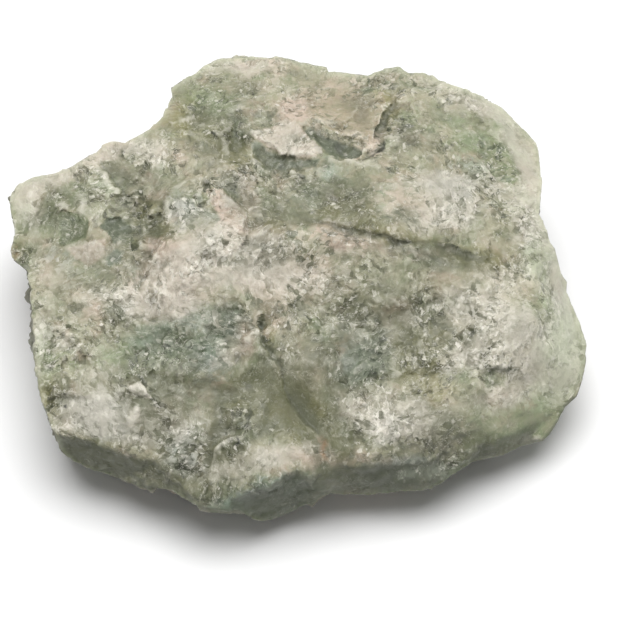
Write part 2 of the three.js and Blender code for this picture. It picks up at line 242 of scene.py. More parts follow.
# Fine cracks and troughs, and one fine ridge, whose depth is negative: line, depth, width.
CRACKS = [
    ([(-2, 10.3), (3.5, 9.1), (8.5, 7.5), (13.5, 5.8), (18, 6.0), (22.3, 4.6), (27, 3.2)], 0.15, 0.7),
    ([(2, 9.2), (5, 8.8), (10, 7.0), (13.5, 5.9), (18, 6.1), (20.4, 5.4), (25.2, 4.0)], 0.28, 0.22),
    ([(-4.4, -7), (-2.2, -11), (-1.6, -14), (0, -16.6), (2, -19), (3.9, -21.2)], 0.35, 1.4),
    ([(-4.2, -8), (-2.3, -11), (-1.7, -13.8), (-0.6, -15.8), (0.8, -17.4), (2.6, -19.6)], 0.42, 0.26),
    ([(-4.5, 12.2), (-4.2, 9.2)], 0.35, 0.3),
    ([(16, 4.8), (19.6, 3.4)], 0.3, 0.4),
    ([(0.4, 22.2), (3.2, 18.6)], -0.3, 0.35),
    ([(-3.2, -9.8), (-4.4, -7.9), (-5.0, -6.6), (-4.9, -4.6)], 0.22, 0.4),
    ([(13.6, 26), (12.2, 23.4), (11, 21.2)], 0.4, 0.3),
    ([(-23.4, 12.6), (-25.4, 15), (-27.4, 17.6)], 0.3, 0.25),
]

# How the break feels: glassy and calm, or built of small blocks.
FEEL = {
    "calm": [
        (12, 11.5, 7, 3.6, 0.55), (31, 18.5, 7, 2, 1, -68), (37, -9, 3.4, 7, 0.9),
        (-3.2, -23.2, 7, 2.2, 0.8, 15), (-26, -16.6, 5.4, 3, 0.8, -8), (0, -17, 4, 5, 0.9, 20),
        (-37.4, 11.5, 2.4, 3, 0.8), (29.6, -4.6, 3.2, 3.2, 0.7), (-6, -14.5, 5, 3, 0.6),
        (-3, -29.5, 5, 2, 0.6, 10), (14, -26, 12, 2, 0.5, 3), (31, -18, 6, 3, 0.7, 15),
        (6, 25, 5, 2.6, 0.2), (35, 4, 1.6, 6, 0.7, 15), (-9, 31, 8, 1.6, 0.5), (-2, 2, 5, 2.4, 0.4),
        (26, -17, 8, 3, 0.6, 18), (12, -23, 10, 2, 0.2, 5),
    ],
    "blocky": [
        (-23, 8, 5.5, 7.5, 0.45, 10), (-18, -6.5, 8, 3.6, 0.7), (-11, 15.5, 5, 4, 0.7),
        (14, 21.5, 4, 5, 0.8), (26, -10.5, 5, 3.4, 0.7), (-1, 16.5, 5, 3, 0.6), (-9, -8, 4, 4, 0.6),
        (12, -19, 5, 4, 0.5), (8, -11, 4, 3, 0.5), (-30, -9, 4, 4, 0.4), (22, 12.5, 4, 4, 0.4),
    ],
}

# Stains and crushed patches of the face, by pigment. The dark patches are partly darker stone and partly
# painted shade in hollows, cracks and on the front walls; the pale patches are partly crushed white quartz
# and partly painted light on slopes and rims;
# the glassy patches are a painted glow along the thin rims.
PATCHES = {
    "cream": [
        (-18.4, 1.8, 4.2, 3.6, 0.9, 40), (-28.5, -3.6, 3, 1.6, 0.35, 20), (-5, 27.5, 2, 1.4, 0.2),
        (32.4, 1.2, 1.8, 2, 0.4), (-3.4, -4, 2.8, 3.6, 0.35), (-26.8, 19.1, 4, 1.1, 0.7, 20),
        (-5.6, 31.6, 4, 1.3, 0.9), (0, 2, 8, 4, 0.35), (0.3, -22.5, 4, 1.6, 0.5, 10),
        (7, -22.8, 3.4, 1, 0.4), (6, 10.2, 5, 1.6, 0.1, -10), (12, 11.8, 4.4, 2.6, 0.1),
        (-5, 6.4, 5, 2.4, 0.4), (-31, 16, 4, 1.6, 0.4, 20), (-20, 6.2, 1.4, 1.2, 0.7), (-9, -9, 3, 3, 0.4),
        (20, -7, 4, 3, 0.25), (-0.8, 24.6, 3, 2.4, 0.7), (10, 20.6, 2.4, 2.4, 0.5), (9, 29, 9, 1.4, 0.35),
        (-19, -1.4, 5, 2.6, 0.5), (17, 10, 4, 3, 0.25), (-13, -27.4, 2, 1, 0.2), (-6.8, 14, 1.6, 3, 0.6),
        (14, 12, 5, 2, 0.25), (5, 7.4, 4.4, 1.6, 0.5, -12), (-14, 5.6, 4, 3, 0.45, 20),
        (17, 4.4, 3, 1.4, 0.35), (-6, 1.6, 4, 2.4, 0.4), (-17, 0, 5, 2.6, 0.6, 15), (-7, -6.4, 1.4, 2, 0.5),
        (-11, -4.6, 3, 1.4, 0.3), (3, -23.6, 3, 1.2, 0.6), (11, -18.6, 2.4, 2, 0.4),
        (-24.6, 20.2, 2, 1.2, 0.5, 20), (37, 17, 3, 6, 0.5), (-6.6, 11.6, 2, 1.6, 0.4),
        (9, 6, 6, 1.2, 0.3, -8), (3, 26.4, 4, 1.6, 0.25), (-5.6, 8.4, 2, 2, 0.2),
    ],
    "green": [
        (-11.6, 25.8, 4.2, 3.4, 0.5), (15.5, 24.2, 2.8, 2.8, 0.4), (28.4, 18.4, 4.4, 2.2, 0.7, -70),
        (24.6, 23.3, 4, 3, 0.15), (-31.4, 9.4, 3.4, 3, 0.4), (-35.6, 9, 2, 2.6, 0.45),
        (-17.6, -7.4, 8, 3.4, 0.55), (-34.2, -7.4, 1.8, 4.6, 0.45), (34, -15, 5, 3, 0.3, 18),
        (37.5, -9.5, 1.8, 4.4, 0.4), (-4.6, 12.6, 2, 1.4, 0.2), (33.6, -3.4, 2.2, 2.4, 0.35),
        (22, -12, 3.4, 2, 0.4), (-30, 3, 3.4, 3, 0.4), (-25, 9, 3, 4, 0.25), (-2, 26.5, 4, 2.6, 0.35),
        (-12, -10, 5, 2.6, 0.45), (19.4, -7.4, 4, 2.4, 0.3), (34.6, -7, 2, 2.4, 0.4),
        (-5, 9.6, 4.4, 2.4, 0.3), (36, -9.4, 3, 6, 0.5), (24, -17.4, 6, 1.8, 0.3, 18),
        (-31, 13.6, 2.6, 1.6, 0.5), (28.4, 11.4, 2, 2, 0.3), (32, -20.6, 3, 2, 0.3, 15),
        (-15, -15.4, 4, 2, 0.3), (18.4, -18.6, 2.4, 1.6, 0.4), (7, -15.6, 1.6, 2, 0.3),
        (-6.8, -12.4, 3, 2.4, 0.4), (-24, -10.4, 3, 2.2, 0.6), (-31.4, -10.4, 2, 2.6, 0.4),
        (35.4, -11, 3.4, 6, 0.6), (24, 20, 3.4, 3, 0.5), (-26, 14, 3, 2.4, 0.4), (35.4, -4, 2.4, 5, 0.4),
        (-5.8, 19, 2, 2, 0.3), (-14.6, 26, 3, 2, 0.3), (27, -20.5, 6, 2.4, 0.5, 18),
    ],
    "teal": [
        (4.8, 16, 2.6, 2.4, 0.5), (-3.9, 17, 3, 1.6, 0.6), (7.2, -11.2, 3.2, 2.2, 0.5),
        (-3.9, -29.4, 5.4, 1.9, 1, 8), (24, 16.6, 3, 2, 0.4), (-10.3, -6, 2.4, 2.6, 0.5),
        (2.4, 12.6, 4.4, 2.2, 0.4), (-11.8, -30, 3, 1, 0.5), (-8.5, 21.8, 1.4, 2.4, 0.6),
        (-15.6, -4.6, 5, 2.4, 0.45), (-9.6, -4.2, 2, 2.2, 0.6), (-15.4, -8.6, 5, 1.8, 0.5),
        (9.6, -9.8, 4, 3, 0.6), (-20.6, -7, 3, 2, 0.4), (-10.6, -11, 3, 2, 0.35),
        (16, -25, 10, 1.6, 0.5, 4), (-2.4, -27, 5, 1.8, 0.6, 10),
    ],
    "olive": [
        (24.4, 4.4, 6, 1.8, 0.65, -12), (-6, -14.8, 5, 3.6, 0.8), (0.4, -18, 2.6, 4.6, 1, 25),
        (16.2, -8.6, 4.2, 5, 0.8), (-19.8, 8.8, 2, 3, 0.7), (19.7, -15, 3.2, 1.8, 0.4),
        (-16.6, 23.4, 2.4, 3, 0.5), (-8.6, 19.2, 1.4, 3, 0.6), (-34.4, -14.4, 1.8, 3.4, 0.5),
        (11.6, 26.6, 3, 2, 0.5), (29.4, -12, 3, 1.2, 0.4), (-26, -23.4, 9, 2, 0.8, -14),
        (33.6, -13, 3, 2, 0.5, 15), (8, 8.8, 5, 1.4, 0.5, -18), (-38.8, 4.6, 1.4, 2, 0.9),
        (-21.6, 8.4, 3, 4, 0.5), (-10.8, 20.4, 3, 2.4, 0.6), (-5.2, 17.4, 3, 1.6, 0.5),
        (-37.2, 12.2, 2.4, 2, 0.4), (12.8, 6.8, 5, 1.2, 0.6, -8), (24, 3, 3, 1.4, 0.3), (8, -7, 2, 2, 0.4),
        (17.6, -8, 3.4, 3, 0.5), (31, -12.6, 3, 1.4, 0.3), (2, -18.6, 3.4, 3, 0.7), (5, -21.6, 4, 2, 0.5),
        (-33, -16, 3, 2.4, 0.6), (-13.6, -26.4, 4, 1.8, 0.4, -34), (3.2, -19.6, 2, 2, 0.7),
        (-37, 11, 2.4, 2, 0.4), (7.4, 10.4, 3, 2, 0.5), (-4.4, 8.6, 2.4, 2, 0.4), (-14.6, 24, 3, 3, 0.4),
        (12.6, 23.6, 1.6, 3, 0.5), (4, 13.6, 4, 2, 0.35, -10), (5, 8, 5, 1.6, 0.3, -10),
        (33, -13, 4, 1.6, 0.6, 10), (-4.3, -5.6, 1.1, 2.8, 1.1), (7, 9.6, 5, 3, 0.3, -10),
        (-4, 6.4, 3, 3, 0.4), (-20.6, 2, 2, 3, 0.4),
    ],
    "cool": [
        (-15.8, 10.8, 3.6, 2.8, 0.55), (21.8, 11.5, 4, 3.2, 0.4), (30.4, -5.8, 3.4, 3.4, 0.4),
        (8, -6.5, 6, 4, 0.3), (-27, -17, 5.4, 3, 0.7), (-15, -5, 4, 2, 0.3), (-5, -28.6, 5, 2, 0.6, 8),
        (14, -26, 10, 2.2, 0.55, 3), (32.4, 7.4, 1.8, 3.2, 0.5), (12.8, -18, 3.4, 2.2, 0.5),
        (-15, -20, 4, 2, 0.5), (36.6, -3, 1.8, 4, 0.6), (-33, 4, 2.6, 2.6, 0.35), (-11, 9, 2, 1.6, 0.4),
        (21, 14.6, 4, 2, 0.5), (-14.4, -2.4, 4, 2, 0.25), (-12, -10.4, 3.6, 2.6, 0.5),
        (-25, -20, 3, 1.6, 0.6), (-15.4, -24, 3.4, 2, 0.6, -20), (16, -24, 9, 1.8, 0.3, 5),
        (11.4, -19.4, 2.4, 1.6, 0.4),
    ],
    # Pale: crushed white quartz, and partly painted light on slopes and rims.
    "pale": [
        (-8.7, 31.4, 6.4, 1.5, 0.8), (-33.4, 15.4, 6, 1.8, 0.8, 20), (-25.4, 19.3, 5, 1.2, 0.7, 15),
        (-38.2, 12, 1.9, 3, 0.8), (-36, 7.6, 1.8, 4, 0.4), (-34.6, -5.4, 1.8, 3, 0.6),
        (-35, -11.4, 1.6, 5.4, 0.4), (-33, 1.8, 3.8, 3.4, 0.5), (-31, -7.8, 3.2, 1.4, 0.6, -25),
        (-28, -1.8, 3.2, 1.6, 0.5, 20), (-26.6, -11.4, 3.2, 1, 0.5), (-28, -14, 3.4, 2.4, 0.4),
        (-26, -16.6, 6.4, 2.8, 0.55, -8), (-29, -18.6, 4.4, 1.8, 0.9, -4), (-23, -20.6, 4, 1, 0.8, -5),
        (-21, 19, 3.4, 1.8, 0.55), (-20, 17.6, 2, 2, 0.4), (-23.4, 12.2, 1.4, 1.6, 0.4),
        (-19, 0.6, 5, 2.8, 0.9, 25), (-18.8, -1.7, 4.7, 2, 1.6), (-17, 11, 3.4, 2.6, 0.35),
        (-15.7, -19, 4.4, 2.6, 0.55), (-11.5, 6.2, 5.2, 3.2, 0.9, 20), (-12.3, 3.9, 2, 1.7, 1.1),
        (-11, 2.4, 5.4, 2.2, 0.85), (-12.2, -4.4, 2, 1.8, 0.4), (-10, -10.4, 2.8, 1.8, 0.5, 30),
        (-10.8, -25.4, 4.4, 2.2, 0.4, -10), (-9.4, -1.6, 1.6, 1.4, 0.4), (-6.6, 15.4, 1.4, 1.6, 0.4),
        (-4, 1.4, 5.4, 2.2, 0.6), (-3.2, 28, 4.6, 2.2, 0.3), (-3.2, 5.8, 4.6, 1.8, 0.55),
        (-3.2, -23, 6.4, 2, 0.85, 15), (-0.6, -10, 2.2, 2.2, 0.5), (-1, -4.4, 2, 2, 0.5), (3, 1, 6, 3, 0.4),
        (5, -26.4, 3, 1, 0.5), (12, 11.5, 6, 3.2, 0.3), (12, -17.4, 5.4, 3.4, 1.1, -10),
        (13, 6.6, 3, 1.2, 0.3), (16, 8, 3.4, 1.2, 0.4), (15.5, 14.8, 2, 1.6, 0.4), (15.5, -4.4, 2, 2, 0.4),
        (18.4, 9.4, 2, 2, 0.6), (19, 29, 3, 1.2, 0.4), (20, -18.4, 8, 3, 0.3, 10), (21, 14.6, 4.2, 2, 0.9),
        (21.6, 10.4, 3.8, 2.2, 1, -25), (21, -10, 2.4, 2, 0.5), (21.6, 26.6, 4, 1.6, 0.5, -20),
        (23.6, -2.4, 4.8, 2.8, 1), (25.2, -7.8, 3.2, 1.4, 0.6, 15), (25, -10.2, 4, 1.6, 0.7),
        (26.4, 26, 4, 2, 0.9, -30), (27.3, 13.4, 2.2, 2.4, 0.5), (27, 17.4, 1.6, 1.6, 0.3),
        (27, -14.8, 4.4, 1.8, 0.6, 10), (28.7, 1.8, 3.6, 2.2, 0.6), (29.4, -5.8, 4.2, 3.4, 1),
        (30.6, 12.2, 2, 1.6, 0.5), (31, 18.5, 7.4, 1.9, 1, -68), (31.4, -14, 2.8, 1, 0.5, 25),
        (31.6, 8.8, 2.6, 3.2, 1), (32, -9.9, 4.6, 3.4, 1.2), (32, -21, 2, 1.4, 0.5),
        (35, 5.8, 5, 1.4, 0.7, -73), (35, 3, 1.9, 3.1, 1.2), (36.5, -3.2, 2, 4.2, 1),
        (36.6, -10.6, 2.8, 5.2, 1), (30, -8, 3, 3, 0.5), (-12.6, 4, 1.4, 1.2, 0.5), (8, -4.6, 2.4, 2, 0.3),
        (-9.2, 15, 2, 1.4, 0.3), (32.4, -21.4, 2, 1.4, 0.5),
    ],
    # Dark: darker stone, and partly painted shade in hollows, cracks and on the front walls.
    "dark": [
        (-39, 4.2, 1.4, 1.8, 1.6), (-36.2, 10, 3, 2.2, 0.85), (-34, 13, 2.6, 2.4, 0.5),
        (-37.2, 15, 1.6, 1.4, 0.5), (-36, 1, 2, 2, 0.2), (-31.4, 8.6, 2.4, 2.2, 0.6),
        (-31, 13, 2, 1.6, 0.4), (-29.6, 4.9, 4.6, 2.2, 0.6), (-31.6, 1, 2, 1.8, 0.4),
        (-31.8, -15.6, 2.2, 3.4, 0.8), (-33.6, -21, 3, 1.2, 0.3, -20), (-27, 1, 3.2, 2.2, 0.45),
        (-28.8, 12.2, 1.6, 1.6, 0.7), (-27, 15.4, 2.4, 2, 0.5), (-24, 15.4, 1.2, 3, 0.5, 40),
        (-23.3, 7.4, 3.6, 4.6, 0.5), (-20.8, 15.6, 3, 2.4, 0.35), (-20.3, 3.4, 2.8, 1.2, 0.5),
        (-24, -5.2, 3.6, 2, 0.4), (-23, -2.5, 2.4, 2.6, 0.7), (-26.5, -23.4, 9, 2.1, 1, -14),
        (-23, -12.6, 3, 2, 0.5), (-20.4, -14.6, 5, 2.2, 0.5), (-21, -17.4, 4, 2.4, 0.4),
        (-20, -20, 3, 2, 0.6), (-21.6, -25, 4, 1.4, 0.5, -20), (-23, -26.6, 3, 1.4, 0.5, -20),
        (-19.4, 8.7, 1.8, 2, 0.6), (-17, -7.4, 5, 2.6, 0.7), (-18, -10.8, 5.4, 2.8, 1.05),
        (-16, -26, 3.6, 1.8, 1.2, -36), (-12.4, -26.3, 3, 1.8, 1.9), (-14, 23.4, 2.6, 2, 0.6),
        (-10, 25.6, 6, 4, 0.4), (-10.6, 19.4, 4.4, 3, 0.55), (-16.4, -15.6, 3.4, 2.2, 0.6),
        (-17, -18.6, 2.4, 1.8, 0.4), (-14.6, 3.8, 4, 2, 0.15, 10), (-12.2, 6.6, 2, 2, 0.8),
        (-15, -4.4, 1.6, 1.6, 0.4), (-9.8, -22.4, 3, 2, 0.85), (-9.5, -19.4, 6.4, 2.2, 0.55),
        (-8.5, 21.8, 1.4, 2.6, 0.8), (-2.1, 17, 3.2, 1.7, 0.8), (-9.6, -5.1, 2.3, 2.7, 1.9),
        (-5.6, -15.6, 5.6, 3.6, 1.2), (-6.2, -15.3, 2.4, 1.8, 1.7), (-8.6, 13.2, 2.4, 2.6, 0.85),
        (-4.2, 10.6, 4, 3.4, 0.75), (-3.8, -9.6, 2.8, 2.4, 0.6), (-3.2, -29.4, 5, 2.1, 1, 10),
        (-4.5, 4.3, 3.2, 2.2, 2), (-6.7, -18, 3, 3, 0.4), (-9.6, -10.4, 2, 1.6, 0.4),
        (-1.2, 20.5, 1.4, 1.2, 1), (-5.4, -5.2, 2, 3, 0.3), (-4.9, -6.4, 0.5, 2.2, 0.8),
        (-1, -7.2, 2, 1.8, 0.4), (-6.4, -24, 2.4, 1.2, 0.4), (-6.7, 28.6, 2.4, 1.6, 0.35),
        (0.4, -17.6, 2.7, 4.8, 0.6, 25), (4, -20.9, 2.7, 2.3, 1.6), (7, 7.6, 5, 1.1, 0.5, -14),
        (7.6, -11.8, 3.4, 2.2, 0.85), (5.7, -14.6, 2.5, 2.4, 0.8), (6.2, -6.8, 3.6, 2.8, 0.6),
        (3, 13, 4.6, 2.4, 0.45), (8, 13.4, 4.4, 2.2, 0.4), (7, 12.4, 3, 1.8, 0.4), (9, 24.6, 2.6, 3, 0.4),
        (6.6, 26, 4, 1.6, 0.4), (1.8, 9.4, 3.2, 1.6, 0.5), (11.4, -9.8, 4, 2.4, 0.5),
        (8.6, 9.6, 3.6, 1.8, 0.6, -10), (4.6, -2, 3, 2, 0.3), (5, 0.8, 3, 1.8, 0.4), (3, -9.6, 2.4, 2, 0.5),
        (6.8, -19.4, 2.6, 3, 0.8), (4.4, -24, 2.4, 1.4, 0.6), (15, 5.4, 4.4, 1.2, 0.6, -4),
        (18.4, 4, 3, 1.2, 0.4), (22.5, 3.6, 5.4, 2.4, 0.9, -8), (14, -1.8, 6, 4, 0.5),
        (16.8, -8.4, 5.4, 4.8, 0.7), (18.4, -6, 2.4, 2.2, 0.4), (14, -25.6, 12, 2.3, 0.85, 3),
        (24, -22, 4, 2.2, 0.8, 20), (30.8, -19.6, 4.2, 2.2, 0.2, 15), (21, -18.2, 3, 2.4, 0.5),
        (17.6, -20, 2.9, 2.1, 1.5), (16.8, -16.6, 2.6, 2.1, 0.8), (14.6, 21.2, 2.4, 3.4, 0.9),
        (24, 20.4, 4, 4, 0.25), (28, -11.4, 3.4, 1.1, 0.4, -8), (31, -12.4, 3, 1.4, 0.6, 10),
        (24, -7.8, 2.3, 2.4, 1.15), (14.4, 9.4, 3, 1.6, 0.6), (-12.6, -28.4, 3, 1.6, 0.8),
        (-22.4, -27.4, 3, 1.4, 0.5, -14), (-6.8, -15.4, 1.4, 1.6, 0.6), (1, -11, 2, 3, 0.4),
        (15.6, 9.6, 1.6, 1.4, 0.4), (-3.4, -23.6, 2, 1.2, 0.5), (-11.4, 5.6, 2, 1.6, 0.3),
        (-21, -16.4, 3, 2, 0.3), (-27, -1, 2, 1.6, 0.3), (18.6, -7.2, 2, 1.8, 0.5), (7, -17, 2, 2, 0.4),
        (-6.4, -15.8, 2.4, 2, 0.6),
    ],
    "rust": [
        (3.7, -22.4, 0.5, 1.8, 0.8), (3.2, -21, 1, 0.8, 0.4), (-39.2, 5, 0.8, 1.6, 0.6),
        (-12.4, -19.8, 1.6, 1, 0.3), (-9.6, -20.2, 1.2, 0.8, 0.25), (28.8, -3.4, 0.5, 0.4, 0.3),
        (-4.6, -6, 0.8, 2.4, 0.5),
    ],
    "speck": [
        (2.7, 20.5, 0.5, 1.8, 0.5, 38), (5.9, 19.4, 1.4, 1.2, 0.6), (10, 18.5, 1.6, 0.7, 0.9, 35),
        (11.8, 19.9, 0.7, 0.5, 0.8), (-31.6, -16.5, 0.4, 0.3, 1.2), (-29.2, -17.3, 0.25, 0.4, 1),
        (-30.2, -18.4, 0.35, 0.25, 1), (-15.6, -25.2, 0.5, 0.4, 1, 50), (-8.3, -20.9, 0.2, 0.7, 1),
        (-15, -19.6, 0.4, 0.7, 0.7), (30.8, 9.4, 0.3, 0.6, 1, -40), (-11.8, 21.3, 0.6, 0.25, 1.2, -20),
        (-13.2, 11.4, 0.5, 0.6, 1), (-10.3, 11.5, 0.4, 0.25, 0.8), (-8, -9.6, 0.9, 1.1, 0.6),
        (-29, -21.4, 0.3, 0.5, 0.7), (9, -12.3, 1.2, 0.3, 0.8, 15), (20.4, -13.8, 0.6, 0.2, 0.8, 20),
        (13, 24.6, 0.35, 0.9, 0.6, -40), (11.8, 22.8, 0.7, 0.5, 0.6), (11, 21.2, 0.4, 0.6, 0.7),
    ],
    # Glassy: a painted glow along the thin rims.
    "glassy": [
        (36.4, -7, 3.2, 6, 0.9), (33, 3.4, 2, 4, 1), (31, 12, 2, 3, 0.5), (33, -14.6, 4, 2, 0.6, 18),
        (30, 21, 6, 1.6, 0.5, -60), (-34.6, -9, 1.6, 6, 0.5), (-38, 10, 1.6, 4, 0.5),
        (-27.6, 14.4, 2.4, 2.6, 0.5), (-8, 31, 8, 1, 0.4),
    ],
}

# How strongly each pigment shows where it lies by chance, off the face.
CHANCE_STAINS = {"cream": 0.7, "green": 0.8, "teal": 0.4, "olive": 0.7, "cool": 0.6, "pale": 0.6, "dark": 0.5}

# Which plates carry a pigment, and how strongly. On the sunken plates the dark is partly painted shade, and
# on the pale rim the pale is partly a painted glow.
PLATE_PIGMENTS = {
    "leaf-shaped flake": {"cream": 0.8, "pale": 0.75},
    "beige plate": {"cream": 0.35, "olive": 0.4},
    "cream plate": {"cream": 0.7, "pale": 0.1},
    "left facet": {"green": 0.3, "pale": 0.3},
    "left nodule": {"green": 0.3, "pale": 0.4},
    "green chip": {"green": 0.9, "dark": 0.7},
    "brown chip": {"olive": 0.6, "dark": 0.5},
    "pocket chip": {"teal": 0.6, "dark": 0.75},
    "pocket crystal": {"teal": 0.6, "dark": 0.7},
    "near scale": {"pale": 0.9},
    "near wedge": {"cream": 0.5, "pale": 0.9},
    "right chip": {"green": 0.5, "dark": 0.15},
    "green face under the flake": {"teal": 0.5, "dark": 0.7},
    "far left facet": {"green": 0.3, "pale": 0.15},
    "dark crevice": {"teal": 0.5, "dark": 0.9},
    "cream corner": {"cream": 0.35, "olive": 0.4, "pale": 0.3},
    "cream sliver": {"cream": 0.6, "pale": 0.4},
    "brown nodule": {"olive": 1.2, "dark": 1.2, "rust": 0.6},
    "green sliver by the rim": {"green": 0.9, "olive": 0.3, "dark": 0.35},
    "pale rim": {"pale": 0.4, "cream": 0.15},
}


def place(a, b, c):
    """Points of space, in millimetres, for arrays of a, b and c: a is measured along +X, b up the leaning
    plane and c straight out of it."""
    low = np.array([0.0, 0.0, MID_HEIGHT])
    return low + a[..., None] * ACROSS + b[..., None] * UP + c[..., None] * OUT


def out_at(b, height):
    """How far out of the leaning plane a point lies, from its b and its height above the ground."""
    return (height - MID_HEIGHT - b * UP[2]) / OUT[2]


def plane_sheet(plane, a, b):
    """c of a fracture plane over a and b: the plane's equation solved straight out of the leaning plane."""
    (pa, pb, height), bearing, tip = plane
    turn, lean = math.radians(bearing), math.radians(tip)
    facing = np.array([math.sin(lean) * math.cos(turn), math.sin(lean) * math.sin(turn), math.cos(lean)])
    on = pa * ACROSS + pb * UP + out_at(pb, height) * OUT
    on[2] += MID_HEIGHT
    return ((on - place(a, b, np.zeros_like(a))) @ facing) / (facing @ OUT)


def soft_least(sheets):
    """The least of several sheets at each point, with the corners between them rounded: minus the log of the
    sum of the exponentials of minus each sheet."""
    stack = np.stack(sheets)
    least = stack.min(axis=0)
    return least - ROUNDING * np.log(np.exp((least - stack) / ROUNDING).sum(axis=0))


def girdle_at(angle):
    """The girdle's reach and depth in each direction, shared out evenly between its two nearest corners."""
    a, b, height = np.array(GIRDLE, dtype=float).T
    turn = np.arctan2(b, a)
    order = np.argsort(turn)
    reach = np.interp(angle, turn[order], np.hypot(a, b)[order], period=2 * math.pi)
    depth = np.interp(angle, turn[order], out_at(b, height)[order], period=2 * math.pi)
    return reach, depth


def along_line(a, b, points):
    """Distance from each point to a bent line, the side it lies on (1 is left of the way the line runs) and
    how far along the line its nearest point is, from 0 to 1."""
    points = np.array(points, dtype=float)
    lengths = np.hypot(*np.diff(points, axis=0).T)
    starts = np.concatenate([[0], np.cumsum(lengths)])
    best = np.full(a.shape, FAR)
    side = np.ones(a.shape)
    way = np.zeros(a.shape)
    for (pa, pb), (qa, qb), length, start in zip(points[:-1], points[1:], lengths, starts):
        da, db = (qa - pa) / length, (qb - pb) / length
        t = np.clip((a - pa) * da + (b - pb) * db, 0, length)
        distance = np.hypot(a - pa - t * da, b - pb - t * db)
        nearer = distance < best
        best = np.where(nearer, distance, best)
        left = da * (b - pb) - db * (a - pa)
        side = np.where(nearer, np.where(left >= 0, 1.0, -1.0), side)
        way = np.where(nearer, (start + t) / starts[-1], way)
    return best, side, way


def inside(a, b, corners):
    """How far inside a closed outline each point lies, in millimetres, negative outside: the distance to the
    outline, with a sign from the count of edges that a ray to the right crosses."""
    distance, _, _ = along_line(a, b, [*corners, corners[0]])
    crossings = np.zeros(a.shape, dtype=bool)
    for (pa, pb), (qa, qb) in zip(corners, [*corners[1:], corners[0]]):
        if pb == qb:
            continue
        spans = (pb > b) != (qb > b)
        crossings ^= spans & (a < pa + (b - pb) * (qa - pa) / (qb - pb))
    return np.where(crossings, distance, -distance)


def cover(a, b, corners):
    """1 on a plate, 0 off it, and a steep side between the two."""
    return ease(inside(a, b, corners), -0.3, 0.4)


def ovals(a, b, patches):
    """The sum of oval bells: each is its strength times e to the power of minus the square of the distance
    from its centre, which is counted in half widths."""
    total = np.zeros_like(a)
    for middle_a, middle_b, half_a, half_b, strength, *turned in patches:
        turn = math.radians(*turned or [0])
        co, si = math.cos(turn), math.sin(turn)
        along = (a - middle_a) * co + (b - middle_b) * si
        over = (b - middle_b) * co - (a - middle_a) * si
        total = total + strength * np.exp(-((along / half_a) ** 2) - (over / half_b) ** 2)
    return total


def ease(value, low, high):
    """0 at low and short of it, 1 at high and past it, and an S curve between them. For a fall, low is the
    larger."""
    t = np.clip((value - low) / (high - low), 0, 1)
    return t * t * (3 - 2 * t)


def scatter(cell, seed):
    """Three even random numbers from 0 to 1 for each whole-numbered cell, always the same for one seed: the
    cell's numbers are multiplied by large primes, mixed and shuffled bit by bit."""
    i, j, k = (cell[..., n].astype(np.int64).astype(np.uint32) for n in range(3))
    mixed = i * np.uint32(73856093) ^ j * np.uint32(19349663) ^ k * np.uint32(83492791)
    mixed ^= np.uint32((seed * 2654435761) % 2**32)
    numbers = []
    for _ in range(3):
        mixed ^= mixed >> np.uint32(15)
        mixed *= np.uint32(2246822519)
        mixed ^= mixed >> np.uint32(13)
        mixed *= np.uint32(3266489917)
        mixed ^= mixed >> np.uint32(16)
        numbers.append(mixed.astype(np.float64) / 2**32)
    return np.stack(numbers, axis=-1)


def drift(points, size, seed):
    """Smooth noise from about -1 to 1 with lumps of the given size: slopes at random at the corners of a
    cubic lattice, blended with an S curve between them."""
    scaled = points / size
    base = np.floor(scaled)
    part = scaled - base
    blend = part * part * part * (part * (part * 6 - 15) + 10)
    total = np.zeros(points.shape[:-1])
    for corner in np.ndindex(2, 2, 2):
        shift = np.array(corner, dtype=float)
        slope = scatter(base + shift, seed) * 2 - 1
        weight = np.prod(np.where(shift > 0, blend, 1 - blend), axis=-1)
        total += weight * ((part - shift) * slope).sum(axis=-1)
    return total * 1.6


def rough(points, size, seed, octaves=4, fall=0.5):
    """Noise at several sizes, each half the last and weaker by the given share."""
    return sum(drift(points, size / 2**n, seed + n) * fall**n for n in range(octaves))


def breaks(points, size, seed, steepness, softness):
    """A patchwork of small flat breaks. Each point belongs to the nearest of a set of scattered seeds, and
    its height is that seed's own tilted plane; near the border of two patches the two planes are blended
    over the given softness. Also returns how near the point is to such a border, 1 on it, and the patch's
    own random number."""
    warped = points + 0.22 * size * np.stack(
        [drift(points, size * 0.6, seed + n) for n in range(3)], axis=-1
    )
    scaled = warped / size
    base = np.floor(scaled)
    nearest = np.full(points.shape[:-1], FAR)
    second = np.full(points.shape[:-1], FAR)
    owner = np.zeros(points.shape[:-1])
    height = np.zeros(points.shape[:-1])
    weights = np.zeros(points.shape[:-1])
    for corner in np.ndindex(3, 3, 3):
        cell = base + np.array(corner, dtype=float) - 1
        seat = scatter(cell, seed)
        way = scaled - cell - seat
        distance = (way * way).sum(axis=-1)
        weight = np.exp(-distance / softness)
        height += weight * (way * (scatter(cell, seed + 7) * 2 - 1)).sum(axis=-1)
        weights += weight
        closer = distance < nearest
        second = np.where(closer, nearest, np.minimum(second, distance))
        nearest = np.where(closer, distance, nearest)
        owner = np.where(closer, seat[..., 0], owner)
    border = 1 - ease(np.sqrt(second) - np.sqrt(nearest), 0.0, 0.25)
    return height / np.maximum(weights, 1e-30) * steepness * size, border, owner


